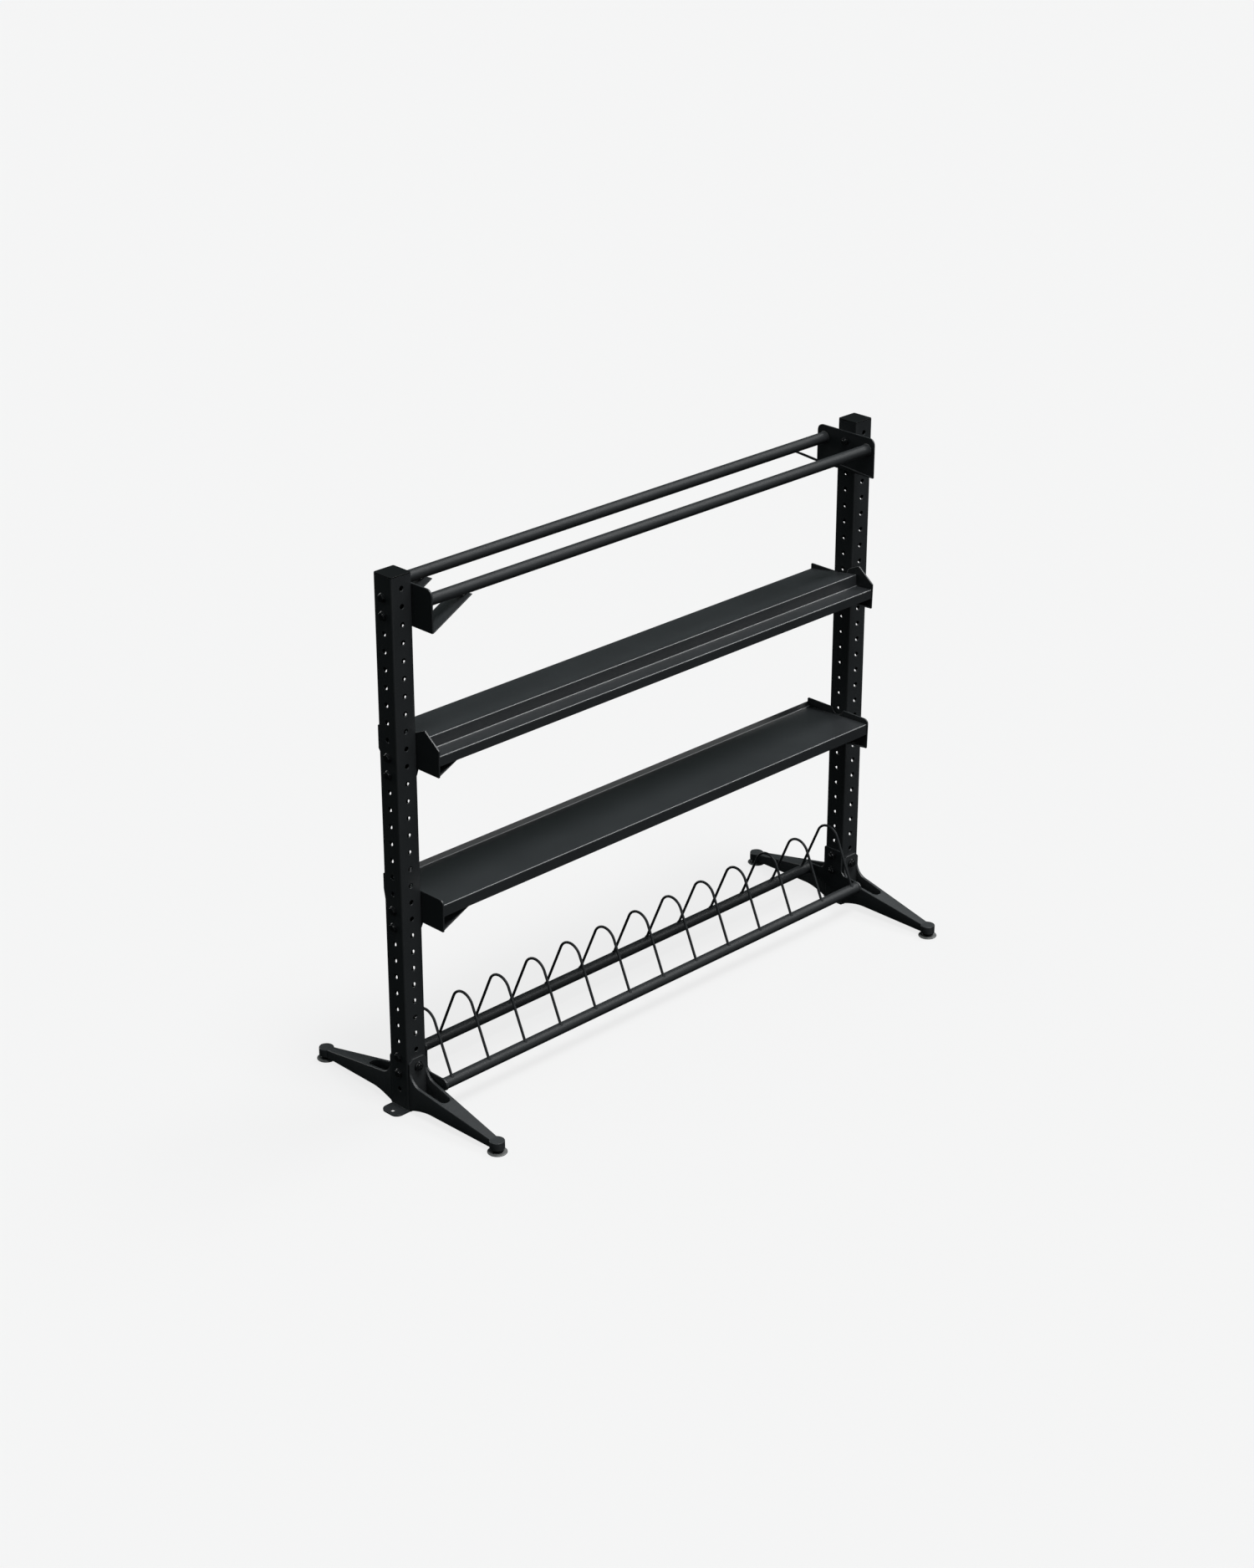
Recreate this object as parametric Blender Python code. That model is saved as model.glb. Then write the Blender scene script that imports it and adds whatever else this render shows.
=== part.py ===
"""Free-standing storage rack for dumbbells, plates and bars.

Two punched square uprights stand on cast feet with levelling pads.  Between them hang a pair of
round rails, a stepped shelf, a tray shelf and a plate rack with wire hoops.  Every level is bolted
through the uprights, so it can be moved up or down by one hole pitch.

Frame: origin on the floor under the middle of the rack, +X along its length, +Z up, front at -Y.
"""
import math

import bmesh
import bpy
from mathutils import Matrix, Vector

# ---- driving dimensions, metres ----
GAP = 0.0003                 # clearance left between pieces that touch

POST_X = 0.895               # upright axis, left and right of the middle
POST_WIDTH = 0.070
POST_WALL = 0.003
POST_CORNER = 0.005
RACK_HEIGHT = 1.575
CAP_THICKNESS = 0.003
CAP_PLUG_DEPTH = 0.010

HOLE_PITCH = 0.050
HOLE_RADIUS = 0.007
FRONT_HOLE_TOP = 1.5375      # top hole through the front and back walls
SIDE_HOLE_TOP = 1.5125       # top hole through the side walls, half a pitch lower
FRONT_HOLES = 29
SIDE_HOLES = 30
HOLE_SIDES = 8

BASE_BOTTOM = 0.0010         # the base plate hangs just clear of the floor
BASE_THICKNESS = 0.0045
TAB_REACH = 0.080            # anchor tab, outboard of the upright axis
TAB_CORNER = 0.022
TAB_HOLE_REACH = 0.062
TAB_HOLE_RADIUS = 0.006

PLATE = 0.005                # bracket and shelf end plates
SHEET = 0.003                # folded shelf sheet
INNER_FACE = POST_X - POST_WIDTH / 2

TUBE_SIDES = 16
RAIL_RADIUS = 0.0165
RAIL_WALL = 0.003
RAIL_Y = 0.0825
RAIL_Z = 1.5055
RAIL_PLATE_HALF = 0.110
RAIL_PLATE_TOP = 1.5425
RAIL_PLATE_BOTTOM = 1.4225
RAIL_PLATE_CORNER = 0.022
RAIL_GUSSET_SLOPE = math.radians(27.8)
RAIL_GUSSET_REACH = 0.137
SHELF_GUSSET_SLOPE = math.radians(25)
GUSSET_WIDTH = 0.064

SHELF_HALF = 0.122
SHELF_GUSSET_Y = -0.1155     # just behind the front flange of a shelf
TONGUE_TAPER = 0.008         # how much a plate's tongue narrows in front of the upright
PLATE_HEEL = 0.009           # chamfer at the rear bottom corner of a shelf plate
STEP_BOLTS = (1.0625, 1.0125)
TRAY_BOLTS = (0.6125, 0.5625)
RAIL_BOLTS = (1.5125, 1.4625)
RACK_BOLTS = (0.1625, 0.1125)
NOTCH_RADIUS = 0.022         # keeps the post hole above a shelf plate clear
STEP_NOTCH_HOLE = 8          # side hole that the notch goes round, counted from the top one
TRAY_NOTCH_HOLE = 17
STEP_PLATE = (1.0185, 1.0300, 0.9950, 1.0990)    # bottom, rear low corner, tongue, rear top
STEP_HORN = ((-0.030, 1.1225), (-0.064, 1.1380), (-0.069, 1.1370), (-SHELF_HALF, 1.0960))
STEP_GUSSET_REACH = 0.078
TRAY_PLATE = (0.5645, 0.6120, 0.5450, 0.6595)
TRAY_PLATE_CORNER = 0.016
TRAY_GUSSET_REACH = 0.106

TUBE_RADIUS = 0.0165
TUBE_Y = 0.100
TUBE_Z = 0.0875
HOOPS = 13
HOOP_PITCH = 0.138
HOOP_RADIUS = 0.004
HOOP_TOP = 0.277
HOOP_FOOT_Y = 0.103
HOOP_CROWN_RADIUS = 0.042
EYE_MARGIN = 0.0013          # rack bracket metal seen round the end of a tube
ARM_TOP = 0.1060
ARM_LOW = 0.0690
ARM_CORNER = 0.012
RACK_PLATE_TOP = 0.1850

FOOT_Y = 0.358               # levelling pad centre, in front of and behind the upright
FOOT_WIDTH = 0.064
FOOT_PLATE = 0.006
FOOT_PLATE_TOP = 0.1645
FOOT_BOTTOM = 0.0040
FOOT_CHAMFER = 0.012
FOOT_BOLT_Z = 0.1375
SWEEP_RADIUS = 0.046         # curve from the back plate down to the arm
SWEEP_FOOT = 0.0860
ARM_TAPER_START = 0.030
NECK_HALF = 0.0135
NECK_TOP = 0.0405
BOSS_RADIUS = 0.0215
BOSS_TOP = 0.0375
BOSS_BOTTOM = 0.0130
POCKET_END = 0.160
POCKET_END_RADIUS = 0.017
POCKET_WALL = 0.007
POCKET_FLOOR = 0.030
POCKET_CUT_TOP = 0.150
ARCH_TOP = 0.0233            # underside of a foot, highest point near the upright
ARCH_RADIUS = 0.188
ARCH_Y = 0.118
ARCH_END = (0.150, 0.0225)
STUD_RADIUS = 0.0060
STUD_BORE = 0.0068
STUD_BOTTOM = 0.0025
STUD_TOP = 0.0330
PAD_RADIUS = 0.028
PAD_DISC = 0.0040
PAD_HUB_RADIUS = 0.0165
PAD_HUB_TOP = 0.0085
PAD_SOCKET_FLOOR = 0.0022

BOLT_RADIUS = 0.0060
BOLT_HEAD_RADIUS = 0.0120
BOLT_HEAD_HEIGHT = 0.008
BOLT_WASHER_RADIUS = 0.0135
BOLT_WASHER_HEIGHT = 0.0025
BOLT_TIP = 0.012             # what stands out past the bracket, nut included
BOLT_PAST_NUT = 0.003
BOLT_BORE = 0.0070

BLACK = (0.020, 0.021, 0.022)


# ---- helpers ----
def clear_scene():
    for obj in list(bpy.data.objects):
        bpy.data.objects.remove(obj, do_unlink=True)


def material(name, color, metallic, roughness):
    mat = bpy.data.materials.get(name) or bpy.data.materials.new(name)
    mat.use_nodes = True
    shader = mat.node_tree.nodes["Principled BSDF"]
    shader.inputs["Base Color"].default_value = (*color, 1.0)
    shader.inputs["Metallic"].default_value = metallic
    shader.inputs["Roughness"].default_value = roughness
    return mat


def powder_coat():
    return material("powder_coat", BLACK, 0.0, 0.55)


def cap_plastic():
    return material("cap_plastic", (0.012, 0.013, 0.014), 0.0, 0.50)


def bar_coat():
    return material("bar_coat", (0.030, 0.031, 0.033), 0.2, 0.40)


def fastener_black():
    return material("fastener_black", (0.030, 0.030, 0.032), 0.6, 0.40)


def pad_grey():
    return material("pad_grey", (0.300, 0.300, 0.290), 0.0, 0.50)


def add_object(name, bm, mat, location=(0.0, 0.0, 0.0), smooth=False):
    bmesh.ops.recalc_face_normals(bm, faces=bm.faces)
    mesh = bpy.data.meshes.new(name)
    bm.to_mesh(mesh)
    bm.free()
    if smooth:
        mesh.shade_smooth()
        mesh.set_sharp_from_angle(angle=math.radians(40))
    mesh.materials.append(mat)
    obj = bpy.data.objects.new(name, mesh)
    obj.location = location
    bpy.context.scene.collection.objects.link(obj)
    return obj


def arc(center, radius, start, end, steps):
    """Points on an arc, angles in degrees."""
    points = []
    for i in range(steps + 1):
        a = math.radians(start + (end - start) * i / steps)
        points.append((center[0] + radius * math.cos(a), center[1] + radius * math.sin(a)))
    return points


def place(a, b, depth, axis):
    """A point of an outline drawn in the plane across axis: YZ for X, XZ for Y, XY for Z."""
    return {"X": (depth, a, b), "Y": (a, depth, b), "Z": (a, b, depth)}[axis]


def add_prism(bm, outline, low, high, axis, holes=()):
    """Extrude a closed outline along an axis; holes are inner outlines."""
    def ring(points, depth):
        verts = [bm.verts.new(place(a, b, depth, axis)) for a, b in points]
        return verts, [bm.edges.new((verts[i - 1], verts[i])) for i in range(len(verts))]

    caps = []
    for depth in (low, high):
        rings = [ring(points, depth) for points in (outline, *holes)]
        edges = [edge for _, ring_edges in rings for edge in ring_edges]
        bmesh.ops.triangle_fill(bm, edges=edges, use_beauty=True)
        caps.append([verts for verts, _ in rings])
    for lower, upper in zip(*caps):
        for i in range(len(lower)):
            bm.faces.new((lower[i - 1], lower[i], upper[i], upper[i - 1]))


def prism(outline, low, high, axis, holes=()):
    bm = bmesh.new()
    add_prism(bm, outline, low, high, axis, holes)
    return bm


def circle(center, radius, sides):
    """Outline of a round hole or bar, with a flat facing each axis."""
    return arc(center, radius, 180 / sides, 360 + 180 / sides, sides)[:-1]


def rounded_square(half, radius, steps):
    inner = half - radius
    points = []
    for k, (sx, sy) in enumerate(((1, 1), (-1, 1), (-1, -1), (1, -1))):
        points += arc((sx * inner, sy * inner), radius, 90 * k, 90 * k + 90, steps)
    return points


def combine(obj, bm, operation):
    """Boolean a second mesh into an object and keep only the result."""
    bmesh.ops.recalc_face_normals(bm, faces=bm.faces)
    mesh = bpy.data.meshes.new("tool")
    bm.to_mesh(mesh)
    bm.free()
    tool = bpy.data.objects.new("tool", mesh)
    bpy.context.scene.collection.objects.link(tool)
    tool.location = obj.location
    modifier = obj.modifiers.new("combine", "BOOLEAN")
    modifier.operation = operation
    modifier.object = tool
    depsgraph = bpy.context.evaluated_depsgraph_get()
    result = bpy.data.meshes.new_from_object(obj.evaluated_get(depsgraph))
    obj.modifiers.remove(modifier)
    obj.data = result
    bpy.data.objects.remove(tool, do_unlink=True)
    return obj


def side_name(side):
    return "left" if side < 0 else "right"


# ---- uprights ----
def make_upright(side):
    """Square tube with staggered holes in all four walls, welded to its base plate."""
    half = POST_WIDTH / 2
    outer = rounded_square(half, POST_CORNER, 2)
    inner = rounded_square(half - POST_WALL, POST_CORNER - POST_WALL, 1)
    bottom = BASE_BOTTOM + BASE_THICKNESS / 2
    top = RACK_HEIGHT - CAP_THICKNESS - GAP
    obj = add_object(f"upright_{side_name(side)}", prism(outer, bottom, top, "Z", (inner,)),
                     powder_coat(), location=(side * POST_X, 0.0, 0.0))

    corner = TAB_REACH - TAB_CORNER
    tab = [(-half, -half), (-half, half)]
    tab += arc((corner, half - TAB_CORNER), TAB_CORNER, 90, 0, 5)
    tab += arc((corner, TAB_CORNER - half), TAB_CORNER, 0, -90, 5)
    tab = [(side * x, y) for x, y in tab]
    hole = circle((side * TAB_HOLE_REACH, 0.0), TAB_HOLE_RADIUS, 12)
    base = prism(tab, BASE_BOTTOM, BASE_BOTTOM + BASE_THICKNESS, "Z", (hole,))
    combine(obj, base, "UNION")

    holes = bmesh.new()
    for i in range(FRONT_HOLES):
        outline = circle((0.0, FRONT_HOLE_TOP - i * HOLE_PITCH), HOLE_RADIUS, HOLE_SIDES)
        add_prism(holes, outline, -POST_WIDTH, POST_WIDTH, "Y")
    for i in range(SIDE_HOLES):
        outline = circle((0.0, SIDE_HOLE_TOP - i * HOLE_PITCH), HOLE_RADIUS, HOLE_SIDES)
        add_prism(holes, outline, -POST_WIDTH, POST_WIDTH, "X")
    combine(obj, holes, "DIFFERENCE")


def make_cap(side):
    """Plastic end cap: a flat top over the tube and a plug down inside it."""
    outline = rounded_square(POST_WIDTH / 2, POST_CORNER, 2)
    plug = rounded_square(POST_WIDTH / 2 - POST_WALL - GAP, POST_CORNER - POST_WALL, 1)
    low = RACK_HEIGHT - CAP_THICKNESS
    obj = add_object(f"cap_{side_name(side)}", prism(outline, low, RACK_HEIGHT, "Z"),
                     cap_plastic(), location=(side * POST_X, 0.0, 0.0))
    combine(obj, prism(plug, low - CAP_PLUG_DEPTH, low + CAP_THICKNESS / 3, "Z"), "UNION")


# ---- plates, gussets and bolts shared by the levels ----
def plate_span(side):
    """X range of a plate that lies against the inner wall of an upright."""
    return sorted((side * (INNER_FACE - GAP - PLATE), side * (INNER_FACE - GAP)))


def make_end_plate(name, side, outline, bolt_heights):
    """Flat plate against the inner wall of an upright, bored for its bolts."""
    bores = [circle((0.0, z), BOLT_BORE, HOLE_SIDES) for z in bolt_heights]
    return add_object(f"{name}_{side_name(side)}", prism(outline, *plate_span(side), "X", bores),
                      powder_coat())


def add_gusset(obj, side, plate_z, reach, slope, y_low):
    """A sloped strap from the foot of an end plate up and inwards, welded to the plate."""
    start = INNER_FACE - GAP - PLATE / 2
    rise = reach * math.tan(slope)
    across = SHEET / math.cos(slope)
    outline = [(start, plate_z), (start - reach, plate_z + rise),
               (start - reach, plate_z + rise + across), (start, plate_z + across)]
    outline = [(side * x, z) for x, z in outline]
    combine(obj, prism(outline, y_low, y_low + GUSSET_WIDTH, "Y"), "UNION")


def make_bolt(name, x, y, z, axis, grip):
    """Flanged bolt with its tightened nut; local +Z runs from the head to the tip."""
    inset = 0.001                # how far neighbouring sections run into each other
    hexagon = circle((0.0, 0.0), BOLT_HEAD_RADIUS, 6)
    flange = circle((0.0, 0.0), BOLT_WASHER_RADIUS, 12)
    shank = circle((0.0, 0.0), BOLT_RADIUS, 8)
    tip = grip + BOLT_TIP
    obj = add_object(name, prism(shank, -2 * inset, tip, "Z"), fastener_black(), smooth=True)
    combine(obj, prism(flange, -BOLT_WASHER_HEIGHT, -GAP, "Z"), "UNION")
    combine(obj, prism(hexagon, -BOLT_HEAD_HEIGHT, -inset, "Z"), "UNION")
    combine(obj, prism(hexagon, grip + GAP, tip - BOLT_PAST_NUT, "Z"), "UNION")
    turn = Vector((0, 0, 1)).rotation_difference(Vector(axis)).to_matrix().to_4x4()
    obj.matrix_world = Matrix.Translation((x, y, z)) @ turn


def make_level_bolts(level, side, heights):
    for label, z in zip(("upper", "lower"), heights):
        name = f"bolt_{level}_{side_name(side)}_{label}"
        grip = POST_WIDTH + GAP + PLATE
        make_bolt(name, side * (POST_X + POST_WIDTH / 2), 0.0, z, (-side, 0, 0), grip)


# ---- top rails ----
def make_rail_bracket(side):
    """End plate with two sloped straps; each bar lies in a round cut in the end of its strap."""
    r = RAIL_PLATE_CORNER
    edge = RAIL_PLATE_HALF
    outline = [(-edge, RAIL_PLATE_BOTTOM), (edge, RAIL_PLATE_BOTTOM)]
    outline += arc((edge - r, RAIL_PLATE_TOP - r), r, 0, 90, 4)
    outline += arc((r - edge, RAIL_PLATE_TOP - r), r, 90, 180, 4)
    obj = make_end_plate("rail_bracket", side, outline, RAIL_BOLTS)
    for y in (-edge, edge - GUSSET_WIDTH):
        add_gusset(obj, side, RAIL_PLATE_BOTTOM, RAIL_GUSSET_REACH, RAIL_GUSSET_SLOPE, y)
    inboard = INNER_FACE - RAIL_GUSSET_REACH
    span = sorted((side * (inboard - 0.010), side * (INNER_FACE - 0.020)))
    bars = bmesh.new()
    for y in (-RAIL_Y, RAIL_Y):
        add_prism(bars, circle((y, RAIL_Z), RAIL_RADIUS + 2 * GAP, TUBE_SIDES), *span, "X")
    combine(obj, bars, "DIFFERENCE")


def make_tube(name, radius, wall, y, z):
    """Round tube along X between the two end plates, open at its ends."""
    reach = INNER_FACE - 2 * GAP - PLATE
    bore = circle((y, z), radius - wall, TUBE_SIDES)
    add_object(name, prism(circle((y, z), radius, TUBE_SIDES), -reach, reach, "X", (bore,)),
               bar_coat(), smooth=True)


# ---- stepped shelf ----
STEP_REAR = (0.1200, 1.0840)
STEP_FOLD = (-0.0590, 1.1120)
STEP_CORNER = (-0.0610, 1.0760)
STEP_NOSE = (-0.1190, 1.0800)
STEP_FLANGE = 1.0510
STEP_REAR_FLANGE = 1.0540


def folded_sheet(path, thickness):
    """Outline of a sheet bent along a path of (y, z) points; the path is its upper side."""
    normals = []
    for (y0, z0), (y1, z1) in zip(path, path[1:]):
        length = math.hypot(y1 - y0, z1 - z0)
        normals.append(((z0 - z1) / length, (y1 - y0) / length))
    under = []
    for i, (y, z) in enumerate(path):
        before = normals[max(i - 1, 0)]
        after = normals[min(i, len(normals) - 1)]
        scale = thickness / (1 + before[0] * after[0] + before[1] * after[1])
        under.append((y + (before[0] + after[0]) * scale, z + (before[1] + after[1]) * scale))
    return path + under[::-1]


def make_deck(name, path):
    reach = INNER_FACE - 2 * GAP - PLATE
    add_object(name, prism(folded_sheet(path, SHEET), -reach, reach, "X"), powder_coat())


def make_step_deck():
    make_deck("step_shelf_deck",
              [(STEP_REAR[0], STEP_REAR_FLANGE), STEP_REAR, STEP_FOLD, STEP_CORNER, STEP_NOSE,
               (STEP_NOSE[0], STEP_FLANGE)])


def shelf_plate_outline(bottom, rear_low, tongue, top):
    """Lower half of a shelf end plate, front to rear, closed by the given top edge."""
    half = POST_WIDTH / 2
    outline = [(-SHELF_HALF + 0.002, bottom), (-half, bottom), (-half + TONGUE_TAPER, tongue),
               (half - TONGUE_TAPER, tongue), (half, bottom), (SHELF_HALF - PLATE_HEEL, bottom),
               (SHELF_HALF, rear_low)]
    return outline + top


def make_step_side(side):
    """End plate of the stepped shelf: notched round a post hole, with a horn in front of it."""
    bottom, rear_low, tongue, rear_top = STEP_PLATE
    hole_z = SIDE_HOLE_TOP - STEP_NOTCH_HOLE * HOLE_PITCH
    chamfer = 0.003
    start = math.degrees(math.asin((rear_top - hole_z) / NOTCH_RADIUS))
    top = [(SHELF_HALF, rear_top - chamfer), (SHELF_HALF - chamfer, rear_top)]
    top += arc((0.0, hole_z), NOTCH_RADIUS, start, -180, 6)
    top += STEP_HORN
    outline = shelf_plate_outline(bottom, rear_low, tongue, top)
    obj = make_end_plate("step_shelf_side", side, outline, STEP_BOLTS)
    add_gusset(obj, side, bottom, STEP_GUSSET_REACH, SHELF_GUSSET_SLOPE, SHELF_GUSSET_Y)


# ---- tray shelf ----
TRAY_PATH = [(0.1200, 0.6490), (0.1190, 0.6340), (-0.1190, 0.6450), (-0.1190, 0.6105)]


def make_tray_side(side):
    """End plate of the tray, with a round front corner and a notch round a post hole."""
    bottom, rear_low, tongue, plate_top = TRAY_PLATE
    r = TRAY_PLATE_CORNER
    hole_z = SIDE_HOLE_TOP - TRAY_NOTCH_HOLE * HOLE_PITCH
    chamfer = 0.004
    top = [(SHELF_HALF, plate_top - chamfer), (SHELF_HALF - chamfer, plate_top)]
    top += [(NOTCH_RADIUS, plate_top)] + arc((0.0, hole_z), NOTCH_RADIUS, -10, -170, 6)
    top += [(-NOTCH_RADIUS, plate_top)] + arc((r - SHELF_HALF, plate_top - r), r, 90, 180, 4)
    outline = shelf_plate_outline(bottom, rear_low, tongue, top)
    obj = make_end_plate("tray_shelf_side", side, outline, TRAY_BOLTS)
    add_gusset(obj, side, bottom, TRAY_GUSSET_REACH, SHELF_GUSSET_SLOPE, SHELF_GUSSET_Y)


# ---- plate rack ----
def make_rack_bracket(side):
    """End plate with an arm and a round eye for each tube."""
    eye = TUBE_RADIUS + EYE_MARGIN
    half = POST_WIDTH / 2
    wide = half + ARM_CORNER
    upper = ARM_TOP + ARM_CORNER
    lower = ARM_LOW - ARM_CORNER
    outline = [(-half, RACK_PLATE_TOP), (-half, upper), (-wide, ARM_TOP)]
    outline += arc((-TUBE_Y, TUBE_Z), eye, 90, 270, 8)
    outline += [(-wide, ARM_LOW), (-half, lower), (half, lower), (wide, ARM_LOW)]
    outline += arc((TUBE_Y, TUBE_Z), eye, -90, 90, 8)
    outline += [(wide, ARM_TOP), (half, upper), (half, RACK_PLATE_TOP)]
    make_end_plate("plate_rack_bracket", side, outline, RACK_BOLTS)


def hoop_path():
    """Half of a hoop, foot to crown, as (y, z): a straight leg into a round crown."""
    foot = Vector((HOOP_FOOT_Y, TUBE_Z + TUBE_RADIUS + GAP))
    crown = Vector((0.0, HOOP_TOP - HOOP_RADIUS - HOOP_CROWN_RADIUS))
    away = foot - crown
    lean = math.atan2(away.y, away.x) + math.acos(HOOP_CROWN_RADIUS / away.length)
    steps = 4
    crown_points = [crown + HOOP_CROWN_RADIUS * Vector((math.cos(a), math.sin(a)))
                    for a in (lean + (math.pi / 2 - lean) * i / steps for i in range(steps + 1))]
    return [foot] + crown_points


def make_hoop(index):
    """Round wire bent in the YZ plane, both feet cut level on top of the tubes."""
    half = hoop_path()
    path = half + [Vector((-p.x, p.y)) for p in half[-2::-1]]
    sides = 6
    bm = bmesh.new()
    rings = []
    for i, here in enumerate(path):
        if i == 0:
            across = Vector((-1.0, 0.0))
        elif i == len(path) - 1:
            across = Vector((1.0, 0.0))
        else:
            before = (here - path[i - 1]).normalized()
            along = (before + (path[i + 1] - here).normalized()).normalized()
            across = Vector((-along.y, along.x)) / along.dot(before)
        ring = []
        for k in range(sides):
            a = 2 * math.pi * k / sides
            spot = here + across * HOOP_RADIUS * math.cos(a)
            ring.append(bm.verts.new((HOOP_RADIUS * math.sin(a), spot.x, spot.y)))
        rings.append(ring)
    for lower, upper in zip(rings, rings[1:]):
        for k in range(sides):
            bm.faces.new((lower[k - 1], lower[k], upper[k], upper[k - 1]))
    bm.faces.new(rings[0])
    bm.faces.new(rings[-1])
    x = (index - (HOOPS - 1) / 2) * HOOP_PITCH
    add_object(f"hoop_{index + 1:02d}", bm, bar_coat(), location=(x, 0.0, 0.0), smooth=True)


# ---- feet ----
def foot_plan():
    """Outline from above of the front foot: tapering arm and round boss, +Y forward."""
    start = POST_WIDTH / 2 + GAP
    half = FOOT_WIDTH / 2
    neck_y = FOOT_Y - math.sqrt(BOSS_RADIUS ** 2 - NECK_HALF ** 2)
    angle = math.degrees(math.asin(NECK_HALF / BOSS_RADIUS))
    outline = [(half, start), (half, start + ARM_TAPER_START), (NECK_HALF, neck_y)]
    outline += arc((0.0, FOOT_Y), BOSS_RADIUS, -90 + angle, 270 - angle, 16)[1:]
    outline += [(-half, start + ARM_TAPER_START), (-half, start)]
    return outline


def foot_side():
    """Outline from the side, as (y, z): back plate, swept cheeks, falling arm and boss.

    It starts a little inside the upright and ends past the boss, and the outline from above
    trims it to length.
    """
    behind = POST_WIDTH / 2 - 0.002
    beyond = FOOT_Y + 0.030
    front = POST_WIDTH / 2 + GAP + FOOT_PLATE
    outline = [(behind, FOOT_BOTTOM), (behind, FOOT_PLATE_TOP), (front, FOOT_PLATE_TOP)]
    outline += arc((front + SWEEP_RADIUS, SWEEP_FOOT + SWEEP_RADIUS), SWEEP_RADIUS, 180, 262, 6)
    outline += [(FOOT_Y - 0.031, NECK_TOP), (FOOT_Y - 0.014, BOSS_TOP), (beyond, BOSS_TOP),
                (beyond, BOSS_BOTTOM), (FOOT_Y - 0.022, BOSS_BOTTOM), ARCH_END]
    outline += arc((ARCH_Y, ARCH_TOP - ARCH_RADIUS), ARCH_RADIUS, 90, 116, 4)
    return outline


def foot_cutter(front):
    """Everything cut from a foot: pocket, plate chamfers, bolt hole and stud hole."""
    start = POST_WIDTH / 2 + GAP + FOOT_PLATE
    half = FOOT_WIDTH / 2 - POCKET_WALL
    round_y = POCKET_END - POCKET_END_RADIUS
    pocket = [(half, start), (POCKET_END_RADIUS, round_y)]
    pocket += arc((0.0, round_y), POCKET_END_RADIUS, 0, 180, 8)[1:]
    pocket += [(-half, start)]
    cutter = prism([(x, front * y) for x, y in pocket], POCKET_FLOOR, POCKET_CUT_TOP, "Z")

    edge = FOOT_WIDTH / 2
    outside = 0.002
    plate_span_y = sorted((front * (POST_WIDTH / 2 - 0.001), front * (start + 0.0087)))
    for s in (-1, 1):
        corner = [(s * (edge - FOOT_CHAMFER), FOOT_PLATE_TOP + outside / 2),
                  (s * (edge + outside), FOOT_PLATE_TOP + outside / 2),
                  (s * (edge + outside), FOOT_PLATE_TOP - FOOT_CHAMFER)]
        add_prism(cutter, corner, *plate_span_y, "Y")
    bore = circle((0.0, FOOT_BOLT_Z), BOLT_BORE, HOLE_SIDES)
    bore_span_y = sorted((front * (POST_WIDTH / 2 - 0.005), front * (start - 0.0008)))
    add_prism(cutter, bore, *bore_span_y, "Y")
    stud_bore = circle((0.0, front * FOOT_Y), STUD_BORE, 12)
    add_prism(cutter, stud_bore, -0.01, STUD_TOP + 0.0015, "Z")
    return cutter


def make_foot(side, front):
    """Cast foot bolted to the front or back wall of an upright by its back plate."""
    name = f"foot_{side_name(side)}_{'front' if front < 0 else 'rear'}"
    side_view = [(front * y, z) for y, z in foot_side()]
    plan = [(x, front * y) for x, y in foot_plan()]
    obj = add_object(name, prism(side_view, -FOOT_WIDTH, FOOT_WIDTH, "X"), powder_coat(),
                     location=(side * POST_X, 0.0, 0.0))
    combine(obj, prism(plan, -0.05, 0.30, "Z"), "INTERSECT")
    combine(obj, foot_cutter(front), "DIFFERENCE")


def make_leveller(side, front):
    """Levelling pad with a socket, and the threaded stud that turns in it."""
    where = f"{side_name(side)}_{'front' if front < 0 else 'rear'}"
    spot = (side * POST_X, front * FOOT_Y, 0.0)
    sides = 20
    disc = prism(circle((0, 0), PAD_RADIUS, sides), 0.0, PAD_DISC, "Z")
    pad = add_object(f"pad_{where}", disc, pad_grey(), location=spot, smooth=True)
    hub = circle((0, 0), PAD_HUB_RADIUS, sides)
    combine(pad, prism(hub, PAD_DISC - 0.0005, PAD_HUB_TOP, "Z"), "UNION")
    socket = circle((0, 0), STUD_BORE, 12)
    combine(pad, prism(socket, PAD_SOCKET_FLOOR, PAD_HUB_TOP + 0.0035, "Z"), "DIFFERENCE")

    stud = prism(circle((0, 0), STUD_RADIUS, 12), STUD_BOTTOM, STUD_TOP, "Z")
    add_object(f"stud_{where}", stud, fastener_black(), location=spot, smooth=True)


def build():
    clear_scene()
    for side in (-1, 1):
        make_upright(side)
        make_cap(side)
        make_rail_bracket(side)
        make_step_side(side)
        make_tray_side(side)
        make_rack_bracket(side)
        make_level_bolts("rail", side, RAIL_BOLTS)
        make_level_bolts("step_shelf", side, STEP_BOLTS)
        make_level_bolts("tray_shelf", side, TRAY_BOLTS)
        make_level_bolts("plate_rack", side, RACK_BOLTS)
        for front in (-1, 1):
            make_foot(side, front)
            make_leveller(side, front)
    make_tube("rail_front", RAIL_RADIUS, RAIL_WALL, -RAIL_Y, RAIL_Z)
    make_tube("rail_rear", RAIL_RADIUS, RAIL_WALL, RAIL_Y, RAIL_Z)
    make_step_deck()
    make_deck("tray_shelf_deck", TRAY_PATH)
    make_tube("plate_rack_tube_front", TUBE_RADIUS, RAIL_WALL, -TUBE_Y, TUBE_Z)
    make_tube("plate_rack_tube_rear", TUBE_RADIUS, RAIL_WALL, TUBE_Y, TUBE_Z)
    for index in range(HOOPS):
        make_hoop(index)


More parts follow.
